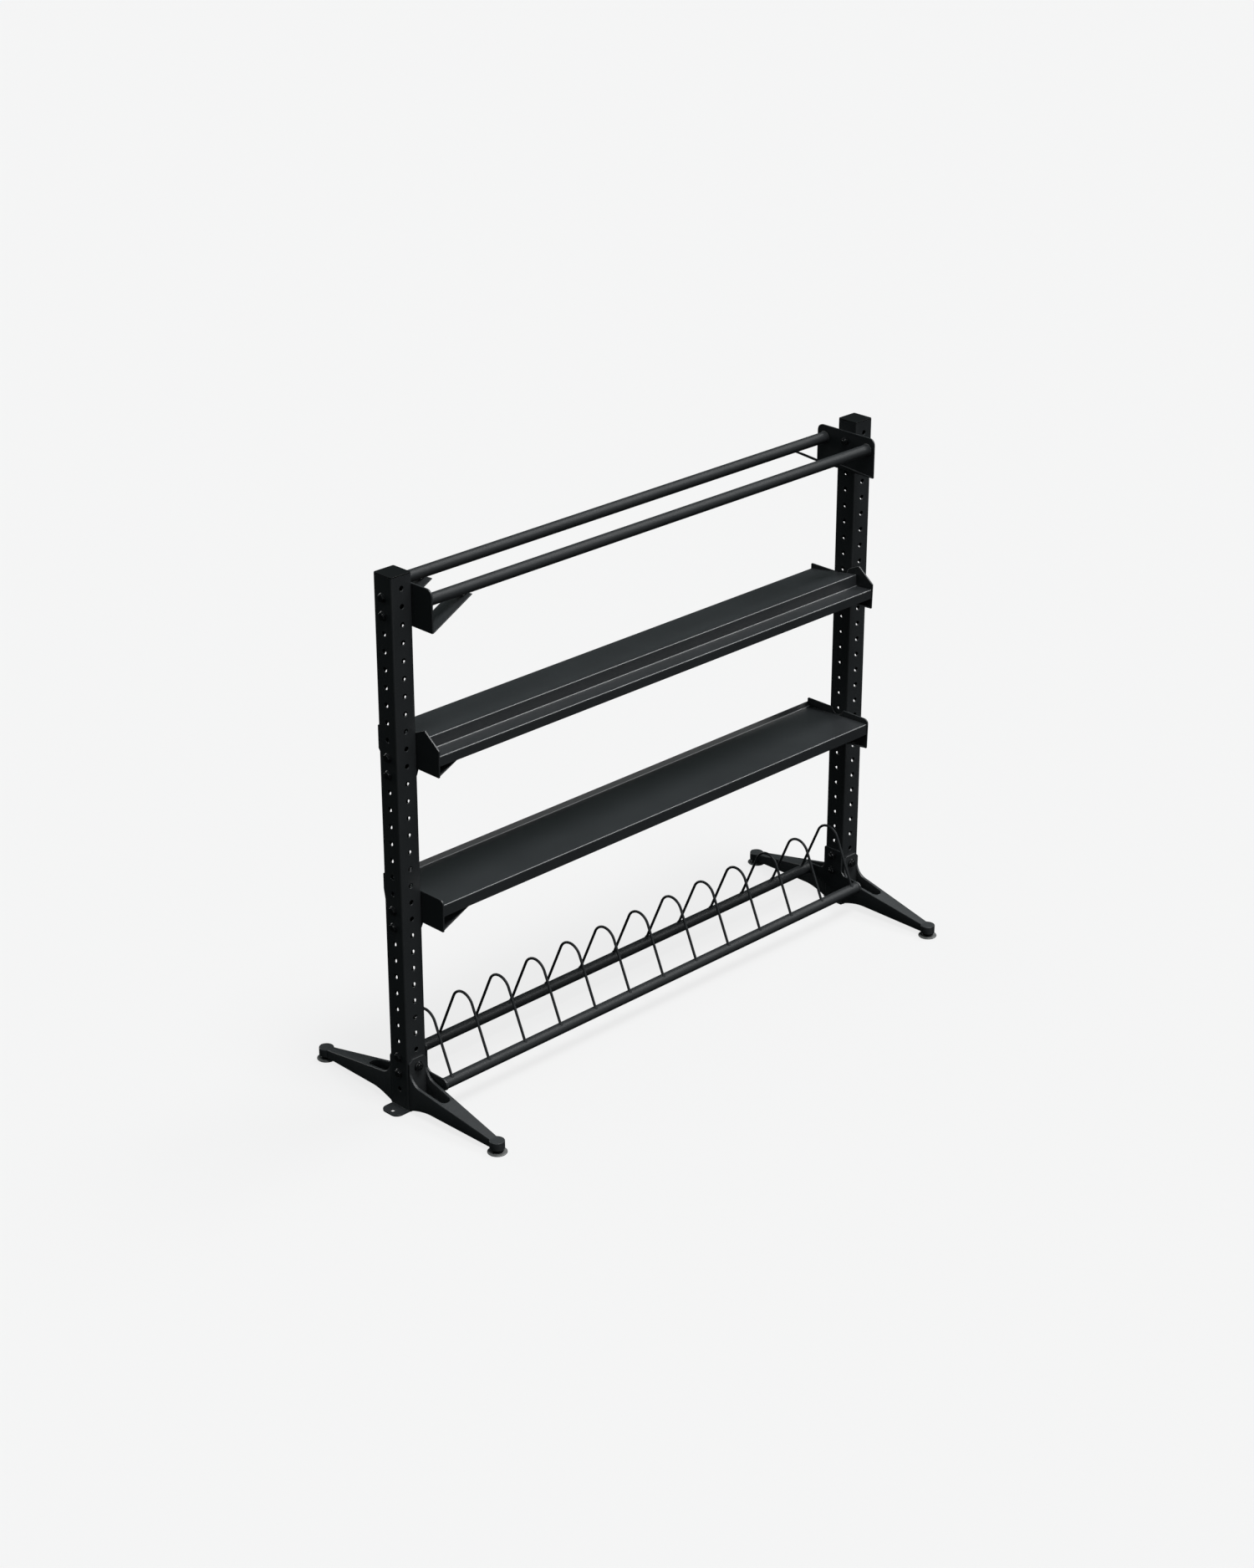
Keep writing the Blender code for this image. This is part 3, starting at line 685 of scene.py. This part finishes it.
def make_bars():
    """Round bars between the end plates, their ends softly turned."""
    for node in ("rail_front", "rail_rear", "plate_rack_tube_front", "plate_rack_tube_rear"):
        low, high, _ = size(node)
        center = ((low.y + high.y) / 2, (low.z + high.z) / 2)
        reach = high.x
        stations = ((-reach, BAR_RADIUS - BAR_END), (-reach + BAR_END, BAR_RADIUS),
                    (-reach + 0.4, BAR_RADIUS), (0.0, BAR_RADIUS), (reach - 0.4, BAR_RADIUS),
                    (reach - BAR_END, BAR_RADIUS), (reach, BAR_RADIUS - BAR_END))
        rings = [[(x, y, z) for y, z in circle(center, r, 64)] for x, r in stations]
        piece(node + "_bar", skin(rings), BAR, replaces=(node,))


# ---------------------------------------------------------------- shelves
SHEET = 0.003
BEND_RADIUS = 0.0045
SHEET_EDGE = 0.0005
# (y, z) corners of each deck's upper side, from the rear edge to the front one
STEP_PATH = [(0.1200, 1.0540), (0.1200, 1.0840), (-0.0590, 1.1120), (-0.0610, 1.0760),
             (-0.1190, 1.0800), (-0.1190, 1.0510)]
TRAY_PATH = [(0.1198, 0.6485), (0.1110, 0.6345), (-0.1190, 0.6450), (-0.1190, 0.6105)]


def bent_path(path):
    """A polyline whose inner corners are replaced by bends."""
    out = [Vector(path[0])]
    for before, here, after in zip(path, path[1:], path[2:]):
        out += corner_curve(Vector(before), Vector(here), Vector(after), BEND_RADIUS, 5, 0.45)
    out.append(Vector(path[-1]))
    return out


def neighbours(path, i):
    """Directions of a path before and after its point i."""
    before = (path[i] - path[i - 1]).normalized() if i else (path[1] - path[0]).normalized()
    after = (path[i + 1] - path[i]).normalized() if i + 1 < len(path) else before
    return before, after


def sheet_outline(path):
    """Both sides of a sheet whose upper side follows the path."""
    under = []
    for i, here in enumerate(path):
        before, after = neighbours(path, i)
        n1, n2 = Vector((-before.y, before.x)), Vector((-after.y, after.x))
        under.append(here + (n1 + n2) * (SHEET / (1 + n1.dot(n2))))
    return [tuple(p) for p in path] + [tuple(p) for p in reversed(under)]


def make_deck(node, path):
    low, high, _ = size(node)
    outline = sheet_outline(bent_path(path))
    mesh = finish_mesh(node, prism(outline, low.x, high.x, "X"), COAT, 24)
    mesh.materials.append(PAINTED_BEND_HIGHLIGHT)
    # bend faces tilted this far up and to the front get the painted highlight
    highlight_tilt = 0.55
    for face in mesh.polygons:
        if face.normal.z > highlight_tilt and face.normal.y < -highlight_tilt:
            face.material_index = 1      # painted highlight: a pale coat on bend faces turned up and to the front, standing in for the glint that light puts there
    piece(node + "_sheet", mesh, COAT, bevel=SHEET_EDGE, replaces=(node,))


SHELF_EDGE = 0.122           # half the depth of a shelf's end plates
SHELF_STRAP_Y = -0.1155
SHELF_STRAP_SLOPE = math.radians(25)
NOTCH_RADIUS = 0.022         # keeps a hole of the upright clear
PLATE_CORNER = 0.004
TONGUE_TAPER = 0.008
REAR_CHAMFER = 0.009


def sharp(points):
    """Points of a curve as corners that aren't rounded again."""
    return [(y, z, 0.0) for y, z in points]


def rounded_outline(corners, steps):
    """Outline from corners given as (y, z, radius)."""
    return rounded([(y, z) for y, z, _ in corners], [r for _, _, r in corners], steps)


def shelf_plate(bottom, rear_low, tongue, top):
    """Closed outline of a shelf's end plate, from its front foot round."""
    half = POST_HALF
    corners = [(-SHELF_EDGE + 0.002, bottom, 0.003)]
    corners += [(y, z, PLATE_CORNER) for y, z in (
        (-half, bottom), (-half + TONGUE_TAPER, tongue), (half - TONGUE_TAPER, tongue),
        (half, bottom), (SHELF_EDGE - REAR_CHAMFER, bottom), (SHELF_EDGE, rear_low))]
    return rounded_outline(corners + top, 6)


def step_top():
    """Upper edge of the stepped shelf's end plate, from the rear to the front."""
    rear = 1.0990
    hole = SIDE_HOLE_TOP - 8 * PITCH
    drop = math.degrees(math.asin((hole - rear) / NOTCH_RADIUS))
    edge = [(SHELF_EDGE, rear, PLATE_CORNER)]
    edge += sharp(arc((0.0, hole), NOTCH_RADIUS, -drop, -180 + drop, 12)[:-1])
    return edge + [(-NOTCH_RADIUS - 0.0002, 1.1105, 0.003), (-0.0300, 1.1225, 0.004),
                   (-0.0665, 1.1390, 0.005), (-SHELF_EDGE, 1.0960, 0.006)]


def tray_top():
    """Upper edge of the tray's end plate, from the rear to the front."""
    top = 0.6595
    hole = SIDE_HOLE_TOP - 17 * PITCH
    edge = [(SHELF_EDGE, top, PLATE_CORNER), (NOTCH_RADIUS, top, 0.0)]
    edge += sharp(arc((0.0, hole), NOTCH_RADIUS, -10, -170, 12))
    return edge + [(-NOTCH_RADIUS, top, 0.0), (-SHELF_EDGE, top, 0.016)]


def make_shelf_sides():
    """End plates and straps; each shelf has its plate's foot, rear corner, tongue and top edge,
    and how far its strap reaches in."""
    shelves = (("step_shelf", 1.0185, 1.0300, 0.9950, step_top(), 0.076),
               ("tray_shelf", 0.5645, 0.6120, 0.5450, tray_top(), 0.104))
    for shelf, bottom, rear_low, tongue, top, reach in shelves:
        outline = shelf_plate(bottom, rear_low, tongue, top)
        for name, side in SIDES:
            node = f"{shelf}_side_{name}"
            piece(node + "_plate", prism(outline, *plate_range(side), "X"), COAT,
                  bevel=PLATE_EDGE, replaces=(node,))
            strap(side, bottom, SHELF_STRAP_SLOPE, reach, SHELF_STRAP_Y, node + "_strap", node)


# ---------------------------------------------------------------- plate rack
EYE_RADIUS = 0.0178
ARM_HALF = 0.0185            # half the height of the arms that hold the tubes
ARM_ROOT = 0.012
ARM_CORNER = 0.010
HOOPS = 13
HOOP_RADIUS = 0.004
HOOP_CROWN_RADIUS = 0.042    # of the wire's middle line


def make_rack_brackets():
    tube_low, tube_high, _ = size("plate_rack_tube_front")
    y, z = -(tube_low.y + tube_high.y) / 2, (tube_low.z + tube_high.z) / 2
    plate_top = size("plate_rack_bracket_left")[1].z
    half = POST_HALF
    top, bottom = z + ARM_HALF, z - ARM_HALF
    corners = sharp(arc((y, z), EYE_RADIUS, -90, 90, 20))
    corners += [(half + ARM_ROOT, top, ARM_CORNER), (half, top + ARM_ROOT, ARM_CORNER),
                (half, plate_top, 0.006), (-half, plate_top, 0.006),
                (-half, top + ARM_ROOT, ARM_CORNER), (-half - ARM_ROOT, top, ARM_CORNER)]
    corners += sharp(arc((-y, z), EYE_RADIUS, 90, 270, 20))
    corners += [(a, b, ARM_CORNER) for a, b in (
        (-half - ARM_ROOT, bottom), (-half, bottom - ARM_ROOT),
        (half, bottom - ARM_ROOT), (half + ARM_ROOT, bottom))]
    outline = rounded_outline(corners, 5)
    for name, side in SIDES:
        node = f"plate_rack_bracket_{name}"
        piece(node + "_plate", prism(outline, *plate_range(side), "X"), COAT,
              bevel=PLATE_EDGE, replaces=(node,))
        for end, front in ENDS:
            piece(f"{node}_weld_{end}", bar_weld(side, front * y, z, BAR_RADIUS + 0.0001), COAT,
                  replaces=(node,))


def hoop_line(foot_y, foot_z, crown_z):
    """Whole hoop as (y, z) points: straight legs into one round crown."""
    foot = Vector((foot_y, foot_z))
    crown = Vector((0.0, crown_z - HOOP_CROWN_RADIUS))
    away = foot - crown
    lean = math.degrees(math.atan2(away.y, away.x) + math.acos(HOOP_CROWN_RADIUS / away.length))
    bend = [Vector(p) for p in arc(crown, HOOP_CROWN_RADIUS, lean, 90, 14)]
    leg = [foot.lerp(bend[0], i / 6) for i in range(6)]
    half = leg + bend
    return half + [Vector((-p.x, p.y)) for p in half[-2::-1]]


def wire(points, radius, sides=16):
    """Round wire in the YZ plane along (y, z) points."""
    rings = []
    for i, here in enumerate(points):
        before, after = neighbours(points, i)
        along = (before + after).normalized()
        across = Vector((-along.y, along.x)) / along.dot(before)
        rings.append([(b, *(here + across * a)) for a, b in circle((0, 0), radius, sides)])
    return skin(rings)


def foot_weld(y, z):
    """Small fillet where a hoop stands on its tube."""
    profile = [(HOOP_RADIUS + grow, height) for grow, height in (
        (0.0026, -0.0014), (0.0018, 0.0004), (0.0008, 0.0016), (0.0002, 0.0030))]
    return moved(turned(profile, 20), at(0, y, z))


def make_hoops():
    """Hoops that stand a little outside the tubes' top line, their feet sunk into the welds."""
    tube_low, tube_high, _ = size("plate_rack_tube_rear")
    y = (tube_low.y + tube_high.y) / 2 + 0.003
    top = tube_high.z - 0.0004
    line = hoop_line(y, top - 0.0016, size("hoop_01")[1].z - HOOP_RADIUS)
    shape = join(wire(line, HOOP_RADIUS), foot_weld(y, top), foot_weld(-y, top))
    mesh = finish_mesh("hoop", shape, BAR, 50)
    for index in range(HOOPS):
        node = f"hoop_{index + 1:02d}"
        low, high, _ = size(node)
        piece(node + "_wire", mesh, BAR, replaces=(node,),
              matrix=at((low.x + high.x) / 2, 0, 0))


# ---------------------------------------------------------------- feet
# The front foot is drawn along +Y from the middle of the upright, and turned for the other end.
FOOT_PLATE = 0.006
FOOT_HALF = 0.032            # half the width of plate and casting
FOOT_BOTTOM = 0.0045
FOOT_TOP = 0.1645
FOOT_CHAMFER = 0.012
FOOT_EDGE = 0.0010
FOOT_BOLT_Z = 0.1375
PAD_RADIUS = 0.028
FOOT_Y = -size("pad_left_front")[0].y - PAD_RADIUS      # middle of the boss
FOOT_START = POST_HALF + GAP + FOOT_PLATE - 0.001       # the casting's root, in the plate
BOSS_RADIUS = 0.0215
BOSS_BOTTOM = 0.0130
NECK_HALF = 0.0135
NECK_Y = FOOT_Y - math.sqrt(BOSS_RADIUS ** 2 - NECK_HALF ** 2)
SWEEP_RADIUS = 0.046         # the cheeks' sweep from the plate down to the arm
SWEEP_FOOT = 0.0860
ARM_START = FOOT_START + 0.0400
ARM_TOP = 0.0866
BOSS_TOP = 0.0375
ARCH_END = 0.118             # the underside is an arch up to here
ARCH_RADIUS = 0.188
ARCH_TOP = 0.0233
POCKET_HALF = 0.025          # the pocket's half width at the plate
POCKET_RADIUS = 0.017        # and the radius of its round end
POCKET_END = 0.160
POCKET_MIDDLE = POCKET_END - POCKET_RADIUS      # of the round end
POCKET_RIM = 0.0014
POCKET_FLOOR = 0.030
CAST_EDGE = 0.0022


def arm_half_width(y):
    """Half width of the casting: straight, then tapered to the neck, then the round boss."""
    taper_from = FOOT_START + 0.025
    inside = BOSS_RADIUS ** 2 - (y - FOOT_Y) ** 2
    boss = math.sqrt(inside) if inside > 0 else 0.0
    if y > FOOT_Y:
        return max(boss, 0.0004)
    taper = min(1.0, max(0.0, y - taper_from) / (NECK_Y - taper_from))
    return max(FOOT_HALF + (NECK_HALF - FOOT_HALF) * taper, boss)


def arm_top(y):
    """Height of the casting: the cheeks' sweep, then the sloping arm, then the level boss."""
    if y < ARM_START:
        drop = max(SWEEP_RADIUS ** 2 - (FOOT_START + SWEEP_RADIUS - y) ** 2, 0.0)
        return SWEEP_FOOT + SWEEP_RADIUS - math.sqrt(drop)
    low, low_y = 0.0395, FOOT_Y - 0.024
    return max(ARM_TOP + (y - ARM_START) * (low - ARM_TOP) / (low_y - ARM_START), BOSS_TOP)


def arm_bottom(y):
    """Height of the underside: an arch, then a slope, then the boss."""
    boss_y = FOOT_Y - 0.022
    if y < ARCH_END:
        return ARCH_TOP - ARCH_RADIUS + math.sqrt(ARCH_RADIUS ** 2 - (ARCH_END - y) ** 2)
    if y < boss_y:
        return ARCH_TOP + (y - ARCH_END) * (BOSS_BOTTOM - ARCH_TOP) / (boss_y - ARCH_END)
    return BOSS_BOTTOM


def pocket_half_width(y, grow=0.0):
    """Half width of the pocket, or of its rim when grow is the rim's width; zero past its end."""
    if y < POCKET_MIDDLE:
        share = (y - FOOT_START) / (POCKET_MIDDLE - FOOT_START)
        return POCKET_HALF + (POCKET_RADIUS - POCKET_HALF) * share + grow
    inside = (POCKET_RADIUS + grow) ** 2 - (y - POCKET_MIDDLE) ** 2
    return math.sqrt(inside) if inside > 0 else 0.0


def arm_stations():
    """Places of the casting's sections, close together where its outline turns."""
    swept = FOOT_START + SWEEP_RADIUS
    shaft = POCKET_END + 0.004
    places = [swept - SWEEP_RADIUS * math.cos(math.radians(a)) for a in range(0, 84, 6)]
    places += [swept + (POCKET_MIDDLE - swept) * k / 9 for k in range(1, 9)]
    places += [POCKET_MIDDLE + POCKET_RADIUS * math.sin(math.radians(a)) for a in range(0, 91, 6)]
    places += [POCKET_END + POCKET_RIM * k / 3 for k in (1, 2, 3)]
    places += [shaft + (NECK_Y - shaft) * k / 20 for k in range(21)]
    boss = [FOOT_Y - BOSS_RADIUS * math.cos(math.radians(a)) for a in range(0, 181, 6)]
    places += [y for y in boss if y > NECK_Y + 0.0002]
    return sorted(set(round(y, 6) for y in places))


def arm_section(y):
    """One ring of the casting: a half outline from the underside's middle, round the side, over
    the cheek and down into the pocket, and the same mirrored."""
    wide, top, bottom = arm_half_width(y), arm_top(y), arm_bottom(y)
    soft = min(CAST_EDGE, wide * 0.45)
    pocket, rim = pocket_half_width(y), pocket_half_width(y, POCKET_RIM)
    floor = max(bottom + 0.008, POCKET_FLOOR) if pocket > 0 else top
    sink = POCKET_RIM if pocket > 0 else 0.0
    half = [(0.0, bottom), (wide - soft, bottom)]
    half += arc((wide - soft, bottom + soft), soft, -90, 0, 4)[1:]
    half += arc((wide - soft, top - soft), soft, 0, 90, 4)
    half += [(rim, top), (pocket + (rim - pocket) * 0.3, top - sink * 0.3), (pocket, top - sink),
             (pocket, (top + floor) / 2), (pocket, floor), (0.0, floor)]
    return [(x, y, z) for x, z in half] + [(-x, y, z) for x, z in half[-2:0:-1]]


def cast_arm():
    """Cast arm of a foot, lofted through its sections, with the open pocket by the upright."""
    bm = skin([arm_section(y) for y in arm_stations()])
    bmesh.ops.remove_doubles(bm, verts=bm.verts, dist=0.00004)
    bmesh.ops.dissolve_degenerate(bm, dist=0.00003, edges=bm.edges)
    return bm


def back_plate():
    """Bolted plate of a foot, drawn in XZ with chamfered upper corners."""
    half, cut = FOOT_HALF, FOOT_CHAMFER
    outline = rounded([(-half, FOOT_BOTTOM), (half, FOOT_BOTTOM), (half, FOOT_TOP - cut),
                       (half - cut, FOOT_TOP), (-half + cut, FOOT_TOP), (-half, FOOT_TOP - cut)],
                      [0.001, 0.001, 0.004, 0.004, 0.004, 0.004], 4)
    start = POST_HALF + GAP
    return prism(outline, start, start + FOOT_PLATE, "Y")


def cheek_fillets():
    """Castings have a soft root where each cheek meets the back plate."""
    y = POST_HALF + GAP + FOOT_PLATE
    cheek, low, high = 0.0245, 0.034, 0.112
    return join(*(weld_bead([(x, y, low), (x, y, high)], ROOT_WELD) for x in (-cheek, cheek)))


def make_feet():
    arm = finish_mesh("foot_arm", cast_arm(), CAST, 38)
    head = finish_mesh("foot_bolt_head", flanged_head(), ZINC, 40)
    ring = finish_mesh("foot_bolt_washer", washer(0.0145, FOOT_WASHER_HEIGHT), ZINC, 40)
    for name, side in SIDES:
        for end, front in ENDS:
            node = f"foot_{name}_{end}"
            turn = Matrix.Rotation(math.pi if front < 0 else 0.0, 4, "Z")
            where = at(side * POST_X, 0, 0, turn)
            piece(node + "_arm", arm, CAST, replaces=(node,), matrix=where)
            piece(node + "_plate", back_plate(), CAST, bevel=FOOT_EDGE,
                  replaces=(node,), matrix=where)
            piece(node + "_root", cheek_fillets(), CAST, replaces=(node,),
                  matrix=where)
            y = front * (POST_HALF + GAP + FOOT_PLATE)
            spin = Matrix.Rotation(math.radians(14 * side + 9 * front), 4, "Z")
            seat = at(side * POST_X, y, FOOT_BOLT_Z, facing((0, front, 0)) @ spin)
            piece(node + "_washer", ring, ZINC, matrix=seat)
            piece(node + "_bolt", head, ZINC,
                  matrix=seat @ Matrix.Translation((0, 0, FOOT_WASHER_HEIGHT)))


def make_levellers():
    pad = finish_mesh("pad_body", turned(
        [(0.0255, 0.0), (0.0272, 0.0004), (0.0279, 0.0012), (0.0279, 0.0026), (0.0270, 0.0035),
         (0.0240, 0.0040), (0.0165, 0.0044)], 64), NYLON, 40)
    hub = finish_mesh("pad_hub", turned(
        [(0.0165, 0.0038), (0.0165, 0.0070), (0.0158, 0.0080), (0.0140, 0.0086),
         (0.0080, 0.0088)], 48), PLUG, 40)
    stud = finish_mesh("stud_body", threaded_rod(0.0062, 0.0330), ZINC, 50)
    locknut = moved(hex_solid(LOCKNUT_HEIGHT, both_ends=True), at(0, 0, 0.0088))
    nut = finish_mesh("stud_nut", locknut, ZINC, 40)
    for name, side in SIDES:
        for end, _ in ENDS:
            spot = f"{name}_{end}"
            low, high, _ = size(f"pad_{spot}")
            where = at((low.x + high.x) / 2, (low.y + high.y) / 2, 0)
            piece(f"pad_{spot}_body", pad, NYLON, replaces=(f"pad_{spot}",),
                  body=f"leveller_pad_{spot}", matrix=where)
            piece(f"pad_{spot}_hub", hub, PLUG, replaces=(f"pad_{spot}",),
                  body=f"leveller_pad_{spot}", matrix=where)
            piece(f"stud_{spot}_thread", stud, ZINC, replaces=(f"stud_{spot}",),
                  body=f"leveller_stud_{spot}", matrix=where)
            piece(f"stud_{spot}_hex", nut, ZINC, replaces=(f"stud_{spot}",),
                  body=f"leveller_stud_{spot}", matrix=where)


# ---------------------------------------------------------------- stage
def make_stage():
    """A pale floor far past the view's edges."""
    floor_mesh = bpy.data.meshes.new("floor")
    far = 90.0
    floor_mesh.from_pydata([(-far, -far, 0), (far, -far, 0), (far, far, 0), (-far, far, 0)],
                           [], [(0, 1, 2, 3)])
    mat = bpy.data.materials.new("floor")
    mat.use_nodes = True
    shader = mat.node_tree.nodes["Principled BSDF"]
    shader.inputs["Base Color"].default_value = (0.10, 0.10, 0.10, 1.0)
    shader.inputs["Roughness"].default_value = 0.9
    shader.inputs["Specular IOR Level"].default_value = 0.0
    shader.inputs["Emission Color"].default_value = (1.0, 1.0, 1.0, 1.0)
    shader.inputs["Emission Strength"].default_value = 0.80
    floor_mesh.materials.append(mat)
    floor = bpy.data.objects.new("floor", floor_mesh)
    bpy.context.scene.collection.objects.link(floor)
    # the pale floor is kept out of the black coat's reflections, as with flags in a studio
    floor.visible_glossy = False
    floor.visible_diffuse = False


SKY_PEAK = 0.20              # strength added at the zenith
SKY_FILL = 0.015             # strength at the horizon
BACKDROP = 0.92


def make_sky():
    """An overhead softbox that fills the studio: brightest at the zenith, dark at the horizon."""
    world = bpy.data.worlds.new("studio")
    bpy.context.scene.world = world
    world.use_nodes = True
    tree = world.node_tree
    back = tree.nodes["Background"]
    coords = tree.nodes.new("ShaderNodeTexCoord")
    split = tree.nodes.new("ShaderNodeSeparateXYZ")
    tree.links.new(coords.outputs["Generated"], split.inputs["Vector"])
    value = split.outputs["Z"]
    for operation, number in (("MAXIMUM", 0.0), ("MULTIPLY", SKY_PEAK), ("ADD", SKY_FILL)):
        step = tree.nodes.new("ShaderNodeMath")
        step.operation = operation
        step.inputs[1].default_value = number
        tree.links.new(value, step.inputs[0])
        value = step.outputs["Value"]
    tree.links.new(value, back.inputs["Strength"])
    back.inputs["Color"].default_value = (0.82, 1.0, 1.0, 1.0)
    # past the edge of the floor the camera sees a backdrop as pale as the floor itself
    backdrop = tree.nodes.new("ShaderNodeBackground")
    backdrop.inputs["Color"].default_value = (1.0, 1.0, 1.0, 1.0)
    backdrop.inputs["Strength"].default_value = BACKDROP
    rays = tree.nodes.new("ShaderNodeLightPath")
    choice = tree.nodes.new("ShaderNodeMixShader")
    tree.links.new(rays.outputs["Is Camera Ray"], choice.inputs["Fac"])
    tree.links.new(back.outputs["Background"], choice.inputs[1])
    tree.links.new(backdrop.outputs["Background"], choice.inputs[2])
    tree.links.new(choice.outputs["Shader"], tree.nodes["World Output"].inputs["Surface"])


def soft_sun(name, direction, strength, angle, glints_only=False):
    """A wide sun that shines from a direction; glints_only keeps it to reflections."""
    data = bpy.data.lights.new(name, "SUN")
    data.energy = strength
    data.angle = math.radians(angle)
    obj = bpy.data.objects.new(name, data)
    obj.rotation_euler = Vector(direction).to_track_quat("Z", "Y").to_euler()
    obj.visible_diffuse = not glints_only
    bpy.context.scene.collection.objects.link(obj)


def make_lights():
    soft_sun("key", (0.0, -0.33, 0.94), 2.0, 18)
    soft_sun("front", (0.0, -1.0, 0.12), 0.50, 40)
    soft_sun("side", (0.55, -0.10, 0.83), 1.2, 24)
    soft_sun("fold_glint", (0.644, -0.47, 0.60), 0.9, 24, glints_only=True)
    soft_sun("back", (-0.06, 1.0, 0.14), 1.0, 40)


def make_camera():
    data = bpy.data.cameras.new("camera")
    data.sensor_fit = "VERTICAL"
    data.sensor_height = 36.0
    data.lens = 71.6
    data.clip_end = 100.0
    camera = bpy.data.objects.new("camera", data)
    camera.location = (-5.736, -5.729, 4.424)
    yaw, pitch = math.radians(45.20), math.radians(24.76)
    look = Vector((math.cos(yaw) * math.cos(pitch), math.sin(yaw) * math.cos(pitch),
                   -math.sin(pitch)))
    camera.rotation_euler = look.to_track_quat("-Z", "Y").to_euler()
    bpy.context.scene.collection.objects.link(camera)
    bpy.context.scene.camera = camera
    bpy.context.scene.view_settings.view_transform = "Standard"


make_uprights()
make_caps()
make_bolt_looks()
make_rail_brackets()
make_bars()
make_deck("step_shelf_deck", STEP_PATH)
make_deck("tray_shelf_deck", TRAY_PATH)
make_shelf_sides()
make_rack_brackets()
make_hoops()
make_feet()
make_levellers()
make_stage()
make_sky()
make_lights()
make_camera()
